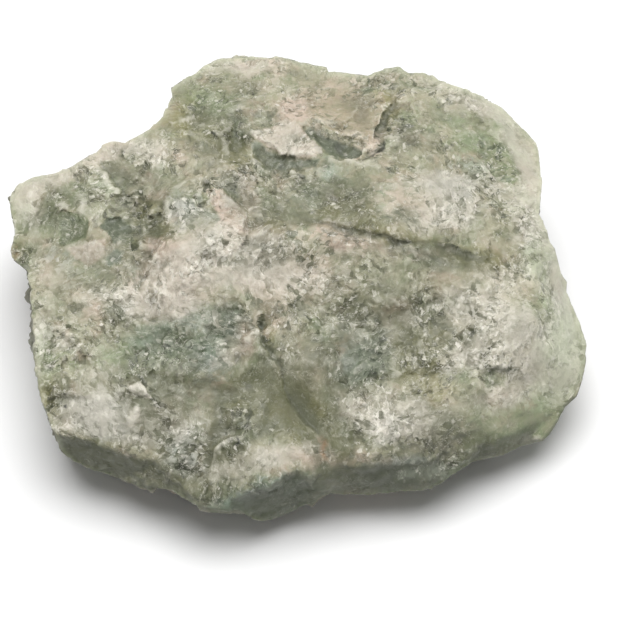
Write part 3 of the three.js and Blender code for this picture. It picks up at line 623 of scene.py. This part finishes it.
def disc_grid(steps):
    """Two parameters from -1 to 1 on a square grid, laid over a disc: each ring of the square becomes a
    circle. Returns the ring, 0 at the middle and 1 at the edge, and the angle."""
    line = np.linspace(-1, 1, steps + 1)
    s, t = np.meshgrid(line, line, indexing="ij")
    wide = np.abs(s) >= np.abs(t)
    ring = np.where(wide, s, t)
    safe = np.where(ring == 0, 1.0, ring)
    angle = np.where(wide, math.pi / 4 * t / safe, math.pi / 2 - math.pi / 4 * s / safe)
    angle = np.where(ring < 0, angle + math.pi, angle)
    return np.abs(ring), angle


def grid_normals(points):
    """Unit normals of a grid of points: the cross product of its two central differences."""
    normal = np.cross(np.gradient(points, axis=0), np.gradient(points, axis=1))
    return normal / np.maximum(np.linalg.norm(normal, axis=-1, keepdims=True), 1e-9)


def blurred(field, cells):
    """A grid smoothed by a bell of that many cells, along one side and then the other."""
    reach = int(3 * cells)
    weights = np.exp(-0.5 * (np.arange(-reach, reach + 1) / cells) ** 2)
    weights /= weights.sum()
    for axis in (0, 1):
        padded = np.pad(field, [(reach, reach) if n == axis else (0, 0) for n in (0, 1)], mode="edge")
        size = field.shape[axis]
        field = sum(
            w * np.take(padded, np.arange(n, n + size), axis=axis) for n, w in enumerate(weights)
        )
    return field


def broad_relief(a, b):
    """The shapes of the face that have a place of their own. Swells and pits are oval bells, a ledge is a
    step that dies away on both sides, a plate is a tilted top with steep sides, and a crack is a narrow
    trough. The depth of each ledge and crack comes and goes along it. Also how near a crack is, 1 in it, for
    the painted shade in the cracks."""
    flat = np.stack([a, b, np.zeros_like(a)], axis=-1)
    relief = ovals(a, b, SWELLS) - ovals(a, b, PITS)
    presence = 0.85 + 0.55 * rough(flat, 5.0, 211, octaves=2)
    for line, rise, reach, width in LEDGES:
        distance, side, way = along_line(a, b, line)
        ends = ease(way, 0, 0.15) * ease(way, 1, 0.85)
        step = np.tanh(side * distance / width) * np.exp(-((distance / reach) ** 2))
        relief = relief + 0.5 * rise * step * ends * presence
    for corners, rise, slope in PLATES.values():
        middle = np.mean(corners, axis=0)
        top = rise + slope[0] * (a - middle[0]) + slope[1] * (b - middle[1])
        relief = relief + top * cover(a, b, corners)
    crack_shade = np.zeros_like(a)
    for line, depth, width in CRACKS:
        distance, _, way = along_line(a, b, line)
        ends = ease(way, -0.1, 0.15) * ease(way, 1.1, 0.85) * presence
        relief = relief - depth * np.exp(-((distance / width) ** 2)) * ends
        crack_shade = np.maximum(crack_shade, np.exp(-((distance / SEAM_WIDTH) ** 2)) * ends)
    return relief, crack_shade


def feel(points, a, b, facing):
    """How calm and how blocky the break is at each point, 0 to 1: by chance, and on the face where it has its
    own calm and blocky patches. Walls are a little more blocky."""
    chance = rough(points, 13.0, 91, octaves=3)
    calm, blocky = 0.8 * ease(chance, 0.15, 0.6), ease(-chance, 0.2, 0.7)
    left = 1 - 0.6 * facing
    calm = np.clip(calm * left + ovals(a, b, FEEL["calm"]) * facing, 0, 1)
    blocky = np.clip(blocky * left + ovals(a, b, FEEL["blocky"]) * facing + 0.3 * (1 - facing), 0, 1)
    return calm, blocky * (1 - calm)


def fracture_relief(points, calm, blocky):
    """Height of the broken surface over its planes, the same rule on every side of the chunk: patches of flat
    breaks at three sizes over smooth swells, and the grain. Also how near a break's edge is, and the number
    of the smallest break, for the colours to follow."""
    large, _, _ = breaks(points, 9.0, 11, 0.06, 0.05)
    middle, ridge, _ = breaks(points, 3.3, 23, 0.07, 0.012)
    small, edge, tone = breaks(points, 1.3, 37, 0.16, 0.012)
    swell = 0.45 * rough(points, 12.0, 51, octaves=3)
    grain = 0.06 * rough(points, 0.9, 71, octaves=2)
    rugged = 1 - 0.8 * calm
    broken = middle * (0.8 + 1.2 * blocky) + small * (0.8 + 0.7 * blocky)
    height = large + rugged * broken + swell + rugged * grain
    patchy = ease(rough(points, 4.0, 83, octaves=2), -0.2, 0.6)
    edges = rugged * np.maximum(ridge * patchy, 0.6 * edge * patchy * patchy)
    return height, edges, tone


def stains_and_painted_light(points, a, b, facing):
    """How strongly each pigment shows, from 0 to about 1: on the face its own ragged patches and plates, and
    where the skin turns away from it patches at random of the same kinds. On the face the dark pigment is
    partly painted shade, the pale partly painted light and the glassy a painted glow."""
    wander = [rough(points, 3.0, seed, octaves=3, fall=0.6) for seed in (401, 421)]
    wa, wb = a + 0.8 * wander[0], b + 0.8 * wander[1]
    strengths = {}
    for n, (pigment, patches) in enumerate(PATCHES.items()):
        chance = ease(rough(points, 9.0, 500 + 10 * n, octaves=4), 0.0, 0.6)
        by_chance = CHANCE_STAINS.get(pigment, 0.0) * chance
        strengths[pigment] = ovals(wa, wb, patches) * facing + by_chance * (1 - facing)
    wa, wb = a + 0.25 * wander[0], b + 0.25 * wander[1]
    for name, pigments in PLATE_PIGMENTS.items():
        covered = cover(wa, wb, PLATES[name][0]) * facing
        for pigment, amount in pigments.items():
            strengths[pigment] = np.maximum(strengths[pigment], amount * covered)
    return strengths


def unbroken_sheet(side, a, b, spread, depth):
    """c of one side over a and b before it is broken up, with its relief and how near its cracks are, which
    is used for painted shade in the cracks. On the face it is the least of the fracture planes and of a
    rounded shoulder that rises from the girdle, plus the relief; on the back it is the greatest, cut off flat
    by the underside. A slow noise bends the planes and, with a quick one, the outlines of the relief."""
    flat = place(a, b, np.zeros_like(a))
    slow = [rough(flat, 9.0, seed, octaves=4) for seed in (301, 311)]
    wa, wb = a + 0.7 * slow[0], b + 0.7 * slow[1]
    possible, power = SHOULDER[side]
    rise = possible * np.sqrt(np.maximum(1 - spread**power, 0))
    if side == "back":
        planes = -soft_least([*(-plane_sheet(plane, wa, wb) for plane in BACK_PLANES.values()), rise - depth])
        c = np.minimum(depth - LEAST_RISE * rise, np.maximum(planes, plane_sheet(UNDERSIDE, a, b)))
        return c, np.zeros_like(a), np.zeros_like(a)
    sheets = {name: plane_sheet(plane, wa, wb) for name, plane in FRONT_PLANES.items()}
    for first, second in HOLLOW:
        sheets[first] = np.maximum(sheets[first], sheets.pop(second))
    planes = soft_least([*sheets.values(), depth + rise])
    quick = [rough(flat, 1.8, seed, octaves=2, fall=0.7) for seed in (331, 341)]
    relief, crack_shade = broad_relief(a + 0.35 * slow[0] + 0.3 * quick[0], b + 0.35 * slow[1] + 0.3 * quick[1])
    relief = (1 - spread**14) * relief
    return np.maximum(depth + LEAST_RISE * rise, planes + relief), relief, crack_shade


def sheet(side):
    """One half of the skin on its grid, and its fields. The ring gives the share of the girdle's reach as a
    sine, so rows crowd towards the girdle, where the normals turn to point straight away from the middle.
    The breaks are laid on along the normals: shallower beside the girdle, and bolder and set inward on the
    walls. Facing is 1 where the skin faces out of the leaning plane, 0 where it turns away from it, and at
    least 0.4 on the girdle itself."""
    ring, angle = disc_grid(STEPS)
    spread = np.sin(ring * math.pi / 2)
    reach, depth = girdle_at(angle)
    a, b = spread * reach * np.cos(angle), spread * reach * np.sin(angle)
    c, relief, crack_shade = unbroken_sheet(side, a, b, spread, depth)
    points = place(a, b, c)
    normal = grid_normals(points) * (1 if side == "front" else -1)
    radial = np.cos(angle)[..., None] * ACROSS + np.sin(angle)[..., None] * UP
    share = ease(ring, 0.93, 1.0)[..., None]
    normal = normal * (1 - share) + radial * share
    normal /= np.linalg.norm(normal, axis=-1, keepdims=True)
    upward = normal[..., 2]
    beside = np.exp(-(((c - depth) / 3) ** 2))
    facing = np.maximum(ease(normal @ OUT, 0.02, 0.32), 0.4 * beside**9)
    wall = (1 - facing) * ease(upward, -0.9, -0.6)
    calm, blocky = feel(points, a, b, facing)
    height, edges, tone = fracture_relief(points, calm, blocky)
    height = (height - height.mean()) * (1 - 0.5 * beside + 0.4 * wall)
    bold, _, _ = breaks(points, 8.0, 61, 0.16, 0.02)
    height = height + wall * (bold * (1 - 0.6 * beside) - WALL_SET_IN)
    points = points + normal * height[..., None]
    bumps = height + relief
    fields = {
        # The fine relief lightens small ridges, partly as crushed white quartz and partly as a painted
        # highlight; the coarse relief darkens hollows as painted shade.
        "fine": bumps - blurred(bumps, 2.5),
        "hollow_shade": bumps - blurred(bumps, 9.0),
        "calm": calm,
        "blocky": blocky,
        "edges": edges,
        "tone": tone,
        # Rim: near the edge of the face and high up, painted lighter as a glow where the thin stone lets
        # light through.
        "rim": ease(ring, 0.80, 0.98) * ease(points[..., 2], 8.0, 13.0) * facing,
        # Steep: 1 on steep walls, which are painted darker as painted shade.
        "steep": ease(upward, 0.5, 0.3) * ease(upward, -0.8, -0.5),
        # How near a crack is: painted shade in the cracks.
        "crack_shade": crack_shade,
    }
    return points, {**fields, **stains_and_painted_light(points, a, b, facing)}


def closed_skin():
    """How the two sheets join along the girdle: the front grid's points in full, then the back grid's inner
    points, whose edge points are the front's. Returns the faces, and a function that joins a field of the
    front to the same field of the back."""
    n = STEPS + 1
    front_ids = np.arange(n * n).reshape(n, n)
    back_ids = front_ids.copy()
    back_ids[1:-1, 1:-1] = n * n + np.arange((n - 2) ** 2).reshape(n - 2, n - 2)

    def quads(ids):
        return np.stack([ids[:-1, :-1], ids[1:, :-1], ids[1:, 1:], ids[:-1, 1:]], axis=-1).reshape(-1, 4)

    def joined(front, back):
        tail = back[1:-1, 1:-1]
        return np.concatenate([front.reshape(n * n, -1), tail.reshape((n - 2) ** 2, -1)])

    return np.concatenate([quads(front_ids), quads(back_ids)[:, ::-1]]), joined


def mesh_piece(name, vertices, faces, fields, material):
    """A mesh object from arrays of corners, four-sided faces and one number per corner for each field."""
    mesh = bpy.data.meshes.new(name)
    mesh.vertices.add(len(vertices))
    mesh.vertices.foreach_set("co", vertices.astype(np.float32).ravel())
    mesh.loops.add(faces.size)
    mesh.loops.foreach_set("vertex_index", faces.astype(np.int32).ravel())
    mesh.polygons.add(len(faces))
    mesh.polygons.foreach_set("loop_start", np.arange(0, faces.size, 4, dtype=np.int32))
    mesh.polygons.foreach_set("use_smooth", np.ones(len(faces), dtype=bool))
    mesh.update(calc_edges=True)
    mesh.validate()
    for key, values in fields.items():
        layer = mesh.attributes.new(key, "FLOAT", "POINT")
        layer.data.foreach_set("value", values.astype(np.float32).ravel())
    mesh.materials.append(material)
    return placed(name, mesh)


def placed(name, data):
    """A new object in the scene for a mesh, a light or a camera."""
    made = bpy.data.objects.new(name, data)
    bpy.context.scene.collection.objects.link(made)
    return made


def colour(code):
    """A six-figure sRGB colour as linear red, green, blue and full alpha."""
    parts = [int(code[n : n + 2], 16) / 255 for n in (1, 3, 5)]
    return [v / 12.92 if v <= 0.04045 else ((v + 0.055) / 1.055) ** 2.4 for v in parts] + [1.0]


def add(tree, kind, settings=None, links=None):
    """Adds one node. settings are the node's properties or, under any other name or a number, its inputs;
    links feed its inputs, by name or number, from output sockets."""
    made = tree.nodes.new(kind)
    for key, value in (settings or {}).items():
        if isinstance(key, str) and hasattr(made, key):
            setattr(made, key, value)
        else:
            made.inputs[key].default_value = value
    for key, output in (links or {}).items():
        tree.links.new(output, made.inputs[key])
    return made


def cloudy_patterns(tree, at):
    """Plain noises, by name, with the size of their lumps in millimetres."""
    patterns = {}
    for name, size, detail, roughness in (
        ("clouds", 6.0, 5.0, 0.6),
        ("hue", 3.6, 3.0, 0.55),
        ("bursts", 5.0, 4.0, 0.6),
        ("mottle", 2.0, 5.0, 0.65),
        ("sugar", 0.6, 4.0, 0.75),
        ("gloss", 2.0, 3.0, 0.5),
    ):
        settings = {"Scale": 1 / size, "Detail": detail, "Roughness": roughness}
        patterns[name] = add(tree, "ShaderNodeTexNoise", settings, {"Vector": at}).outputs["Fac"]
    return patterns


def grain_patterns(tree, at):
    """The stone is a mass of crystals a few millimetres across, each lying its own way. Their outlines are
    bent by a fine noise, and what is inside each is drawn out along its own direction: grains of two sizes,
    fibres, and hair-thin white streaks, which are the lines on which a noise takes its middle value."""
    bend = add(tree, "ShaderNodeTexNoise", {"Scale": 1 / 0.9, "Detail": 3.0}, {"Vector": at})
    bent = add(
        tree, "ShaderNodeVectorMath", {"operation": "MULTIPLY_ADD", 1: (1.0, 1.0, 1.0)},
        {0: bend.outputs["Color"], 2: at},
    ).outputs[0]
    crystals = add(tree, "ShaderNodeTexVoronoi", {"Scale": 1 / 3.6}, {"Vector": bent}).outputs["Color"]
    full_turns = (6.3, 6.3, 6.3)
    turn = add(tree, "ShaderNodeVectorMath", {"operation": "MULTIPLY", 1: full_turns}, {0: crystals})
    along = add(
        tree, "ShaderNodeVectorRotate", {"rotation_type": "EULER_XYZ"},
        {"Vector": bent, "Rotation": turn.outputs[0]},
    ).outputs[0]
    cells = ("ShaderNodeTexVoronoi", {"Scale": 1.0}, "Color")
    threads = ("ShaderNodeTexNoise", {"Scale": 1.0, "Detail": 3.0, "Roughness": 0.6}, "Fac")
    patterns = {"crystals": crystals}
    for name, sizes, (kind, settings, output) in (
        ("grains", (0.7, 1.6, 1.0), cells),
        ("sugar", (0.34, 0.7, 0.45), cells),
        ("fibres", (0.35, 1.5, 0.8), threads),
        ("streaks", (1.0, 3.0, 2.0), threads),
    ):
        scale = tuple(1 / size for size in sizes)
        laid = add(tree, "ShaderNodeMapping", {"Scale": scale}, {"Vector": along})
        patterns[name] = add(tree, kind, settings, {"Vector": laid.outputs[0]}).outputs[output]
    off = add(tree, "ShaderNodeMath", {"operation": "SUBTRACT", 1: 0.5}, {0: patterns["streaks"]})
    near = add(tree, "ShaderNodeMath", {"operation": "ABSOLUTE"}, {0: off.outputs[0]})
    patterns["streaks"] = near.outputs[0]
    return patterns


def stone_colour(tree, clouds, grains, fields, shown):
    """The colour, in layers from the bottom up. Each layer has what decides it, how it is laid on, its
    colour, the range it comes in over, and its most."""
    body = add(
        tree, "ShaderNodeMapRange",
        {"interpolation_type": "SMOOTHSTEP", "From Min": 0.35, "From Max": 0.65}, {"Value": clouds["clouds"]},
    )
    base = add(
        tree, "ShaderNodeMix", {"data_type": "RGBA", 6: colour("#8f8f75"), 7: colour("#a49f86")},
        {0: body.outputs[0]},
    ).outputs[2]

    # The stains, and the painted light and shade of the dark, pale and glassy patches: each one's edge is
    # broken up by the mottle and the grains.
    broken = add(
        tree, "ShaderNodeMath", {"operation": "MULTIPLY_ADD", 1: 0.5},
        {0: grains["grains"], 2: clouds["mottle"]},
    )
    stain_and_light_layers = [
        (clouds["hue"], "MIX", "#b9a08e", 0.54, 0.72, 0.5),
        (clouds["hue"], "MIX", "#7c8b66", 0.46, 0.30, 0.5),
    ]
    for name, code, low, high, most in (
        ("green", "#7a8b63", 0.6, 1.02, 0.72),
        ("teal", "#6f8779", 0.6, 1.02, 0.72),
        ("olive", "#7c7746", 0.6, 1.0, 0.7),
        ("cool", "#9aa09e", 0.6, 1.0, 0.7),
        ("cream", "#cbb6a6", 0.6, 1.02, 0.78),
        # dark: partly painted shade
        ("dark", "#54583f", 0.66, 1.16, 0.7),
        # pale: partly painted light
        ("pale", "#c6c0b1", 0.66, 1.16, 0.7),
        # glassy: a painted glow on the thin rims
        ("glassy", "#bec4aa", 0.6, 1.3, 0.72),
        ("rust", "#7a5a30", 0.66, 1.16, 0.8),
    ):
        ragged = add(
            tree, "ShaderNodeMath", {"operation": "MULTIPLY_ADD", 1: 0.55},
            {0: broken.outputs[0], 2: fields[name]},
        )
        stain_and_light_layers.append((ragged.outputs[0], "MIX", code, low, high, most))

    # The grains: some clearer and darker, some clouded and lighter. Where the stone is pale it is crushed,
    # so more of the smallest grains are white and more streaks show.
    crushed, veiled = (
        add(
            tree, "ShaderNodeMath", {"operation": "MULTIPLY_ADD", "use_clamp": clamped, 1: amount},
            {0: fields["pale"], 2: grains[name]},
        ).outputs[0]
        for name, amount, clamped in (("sugar", 0.13, True), ("streaks", -0.012, False))
    )
    grained = [
        (grains["crystals"], "MULTIPLY", "#a3a894", 0.40, 0.10, 0.6),
        (grains["crystals"], "SCREEN", "#59574f", 0.62, 0.92, 0.5),
        (grains["grains"], "MULTIPLY", "#8d9484", 0.42, 0.16, 0.75),
        (grains["grains"], "SCREEN", "#6f6d64", 0.60, 0.86, 0.65),
        (fields["tone"], "MULTIPLY", "#a3a894", 0.35, 0.05, 0.6),
        (fields["tone"], "SCREEN", "#59574f", 0.65, 0.95, 0.4),
        (grains["fibres"], "MULTIPLY", "#858b7a", 0.46, 0.30, 0.8),
        (grains["fibres"], "SCREEN", "#77756b", 0.54, 0.70, 0.8),
        (clouds["sugar"], "MULTIPLY", "#7d8371", 0.44, 0.28, 0.7),
        (clouds["sugar"], "SCREEN", "#838075", 0.56, 0.72, 0.7),
        (crushed, "MIX", "#e9e5d8", 0.84, 0.92, 0.55),
        (grains["sugar"], "MIX", "#4b5140", 0.10, 0.06, 0.5),
        (veiled, "MIX", "#ece8dc", 0.012, 0.002, 0.45),
        (fields["edges"], "SCREEN", "#838075", 0.50, 1.0, 0.7),
    ]

    # Painted light and shade: painted shade in the hollows, on the steep walls and in the cracks; the crushed
    # edges of small ridges painted lighter, partly white quartz and partly a painted highlight; a painted
    # glow on the thin rim where it lets light through; then the dark specks.
    shaded = [
        # painted shade in the hollows
        (fields["hollow_shade"], "MIX", "#4c5040", 0.0, -0.6, 0.5),
        # small ridges lighter: crushed white quartz and a painted highlight
        (fields["fine"], "MIX", "#dcd8ca", 0.05, 0.3, 0.5),
        # painted shade on the steep walls
        (fields["steep"], "MIX", "#474b39", 0.0, 1.0, 0.72),
        # painted glow on the thin rim
        (fields["rim"], "MIX", "#ccd0b6", 0.0, 1.0, 0.5),
        # painted shade in the cracks
        (fields["crack_shade"], "MIX", "#45483a", 0.2, 0.9, 0.35),
        (fields["speck"], "MIX", "#2b2e26", 0.35, 0.75, 0.85),
    ]
    for layers, limit in ((stain_and_light_layers, None), (grained, shown), (shaded, None)):
        for source, blend, code, low, high, most in layers:
            ends = {"From Min": low, "From Max": high, "To Max": most}
            share = add(tree, "ShaderNodeMapRange", ends, {"Value": source}).outputs[0]
            if limit is not None:
                both = {0: share, 1: limit}
                share = add(tree, "ShaderNodeMath", {"operation": "MULTIPLY"}, both).outputs[0]
            base = add(
                tree, "ShaderNodeMix", {"data_type": "RGBA", "blend_type": blend, 7: colour(code)},
                {0: share, 6: base},
            ).outputs[2]
    return base


def broken_normal(tree, clouds, grains, shown):
    """Each grain has broken along its own flat face: the normal leans its own way on each crystal and on each
    grain of two sizes, about no lean at all, and the sugar roughens it."""
    leans = {"crystals": 0.28, "grains": 0.45, "sugar": 0.3}
    middle = -sum(leans.values()) / 2
    lean = add(tree, "ShaderNodeCombineXYZ", {0: middle, 1: middle, 2: middle}).outputs[0]
    for name, strength in leans.items():
        amount = (strength, strength, strength)
        lean = add(
            tree, "ShaderNodeVectorMath", {"operation": "MULTIPLY_ADD", 1: amount},
            {0: grains[name], 2: lean},
        ).outputs[0]
    skin = add(tree, "ShaderNodeNewGeometry")
    scaled = add(tree, "ShaderNodeVectorMath", {"operation": "SCALE"}, {0: lean, "Scale": shown})
    links = {0: skin.outputs["Normal"], 1: scaled.outputs[0]}
    tilted = add(tree, "ShaderNodeVectorMath", {"operation": "ADD"}, links)
    facing = add(tree, "ShaderNodeVectorMath", {"operation": "NORMALIZE"}, {0: tilted.outputs[0]})
    links = {"Height": clouds["sugar"], "Normal": facing.outputs[0]}
    return add(tree, "ShaderNodeBump", {"Strength": 0.5, "Distance": 0.0002}, links).outputs[0]


def broken_aventurine():
    """Aventurine quartzite, green from fuchsite mica, broken by hand and left unworked. The break gives a
    sugary, half glassy surface: crushed white quartz on the edges, partly a painted highlight, and a darker
    green in the hollows that is painted shade."""
    material = bpy.data.materials.new("broken_aventurine_quartzite")
    material.use_nodes = True
    tree = material.node_tree
    tree.nodes.clear()
    coordinates = add(tree, "ShaderNodeTexCoord")
    to_mm = {"Scale": (1 / MM, 1 / MM, 1 / MM)}
    at = add(tree, "ShaderNodeMapping", to_mm, {"Vector": coordinates.outputs["Object"]}).outputs[0]
    clouds = cloudy_patterns(tree, at)
    grains = grain_patterns(tree, at)
    fields = {}
    for name in ("fine", "hollow_shade", "calm", "blocky", "edges", "tone", "rim", "steep", "crack_shade", *PATCHES):
        fields[name] = add(tree, "ShaderNodeAttribute", {"attribute_name": name}).outputs["Fac"]

    # The grains show in places and not in others, most where the break is blocky and least where it is calm.
    busy, rugged, sheen = (
        add(
            tree, "ShaderNodeMapRange",
            {"interpolation_type": curve, "From Min": low, "From Max": high, "To Min": least, "To Max": most},
            {"Value": source},
        ).outputs[0]
        for source, curve, low, high, least, most in (
            (clouds["bursts"], "SMOOTHSTEP", 0.41, 0.59, 0.3, 1.0),
            (fields["calm"], "LINEAR", 0.0, 1.0, 1.0, 0.3),
            (clouds["gloss"], "LINEAR", 0.35, 0.65, 0.4, 0.7),
        )
    )
    quiet = add(tree, "ShaderNodeMath", {"operation": "MULTIPLY"}, {0: busy, 1: rugged})
    shown = add(
        tree, "ShaderNodeMath", {"operation": "MULTIPLY_ADD", 1: 0.45},
        {0: fields["blocky"], 2: quiet.outputs[0]},
    ).outputs[0]
    base = stone_colour(tree, clouds, grains, fields, shown)
    normal = broken_normal(tree, clouds, grains, shown)
    quartz = {
        "IOR": 1.54,
        "Subsurface Weight": 0.12,
        "Subsurface Scale": 0.001,
        "Subsurface Radius": (1.6, 2.0, 1.3),
    }
    links = {"Base Color": base, "Roughness": sheen, "Normal": normal}
    shader = add(tree, "ShaderNodeBsdfPrincipled", quartz, links)
    add(tree, "ShaderNodeOutputMaterial", None, {"Surface": shader.outputs[0]})
    return material


def aventurine_chunk():
    """The whole stone: the front and back sheets joined at the girdle, then thinned where it is smooth. It is
    moved over the ground to the middle of its part's box, so the camera is given the move too."""
    front, front_fields = sheet("front")
    back, back_fields = sheet("back")
    faces, joined = closed_skin()
    points = joined(front, back)
    fields = {key: joined(front_fields[key], back_fields[key]) for key in front_fields}
    low, high = (np.array(corner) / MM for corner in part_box(NODE))
    shift = (low + high) / 2 - (points.min(axis=0) + points.max(axis=0)) / 2
    shift[2] = 0
    points += shift
    points[:, 2] = np.maximum(points[:, 2], 0)
    piece = mesh_piece("aventurine_skin", points * MM, faces, fields, broken_aventurine())
    thin = piece.modifiers.new("thin", "DECIMATE")
    thin.ratio = MOST_TRIANGLES / (len(faces) * 2)
    return piece, shift


def pale_floor():
    """A wide, flat, matt floor of pale paper."""
    paper = bpy.data.materials.new("pale_floor")
    paper.use_nodes = True
    shader = paper.node_tree.nodes["Principled BSDF"]
    shader.inputs["Base Color"].default_value = (0.87, 0.87, 0.87, 1)
    shader.inputs["Roughness"].default_value = 0.9
    shader.inputs["Specular IOR Level"].default_value = 0.1
    half = 6.0  # metres
    corners = [(-half, -half, 0), (half, -half, 0), (half, half, 0), (-half, half, 0)]
    mesh = bpy.data.meshes.new("floor")
    mesh.from_pydata(corners, [], [(0, 1, 2, 3)])
    mesh.materials.append(paper)
    placed("floor", mesh)


def soft_studio():
    """A pale room, which looks brighter than it lights, and one large soft light from above and a little
    behind."""
    world = bpy.data.worlds.new("room")
    bpy.context.scene.world = world
    world.use_nodes = True
    tree = world.node_tree
    lighting = tree.nodes["Background"]
    lighting.inputs["Color"].default_value = (1, 1, 1, 1)
    lighting.inputs["Strength"].default_value = 0.27
    seen = add(tree, "ShaderNodeBackground", {"Color": (1, 1, 1, 1), "Strength": 1.2})
    path = add(tree, "ShaderNodeLightPath")
    links = {0: path.outputs["Is Camera Ray"], 1: lighting.outputs[0], 2: seen.outputs[0]}
    either = add(tree, "ShaderNodeMixShader", None, links)
    tree.links.new(either.outputs[0], tree.nodes["World Output"].inputs[0])

    data = bpy.data.lights.new("softbox", "SUN")
    data.angle = math.radians(50)
    data.energy = 3.4
    lamp = placed("softbox", data)
    lamp.rotation_euler = Vector((0.02, 0.17, 1.0)).to_track_quat("Z", "Y").to_euler()


def camera(shift):
    """Looks straight at the leaning plane through a long lens, at a point a little off its middle."""
    data = bpy.data.cameras.new("camera")
    data.lens = 250
    data.sensor_width = 36
    data.clip_start, data.clip_end = 0.01, 20
    distance = VIEW_WIDTH * data.lens / data.sensor_width
    aim = place(np.array(AIM[0]), np.array(AIM[1]), np.array(0.0)) + shift
    body = placed("camera", data)
    body.location = Vector((aim + OUT * distance) * MM)
    body.rotation_euler = Vector(-OUT).to_track_quat("-Z", "Y").to_euler()
    bpy.context.scene.camera = body


stone, moved = aventurine_chunk()
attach(stone, "root")
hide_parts(NODE)
pale_floor()
soft_studio()
camera(moved)
bpy.context.scene.view_settings.view_transform = "Standard"
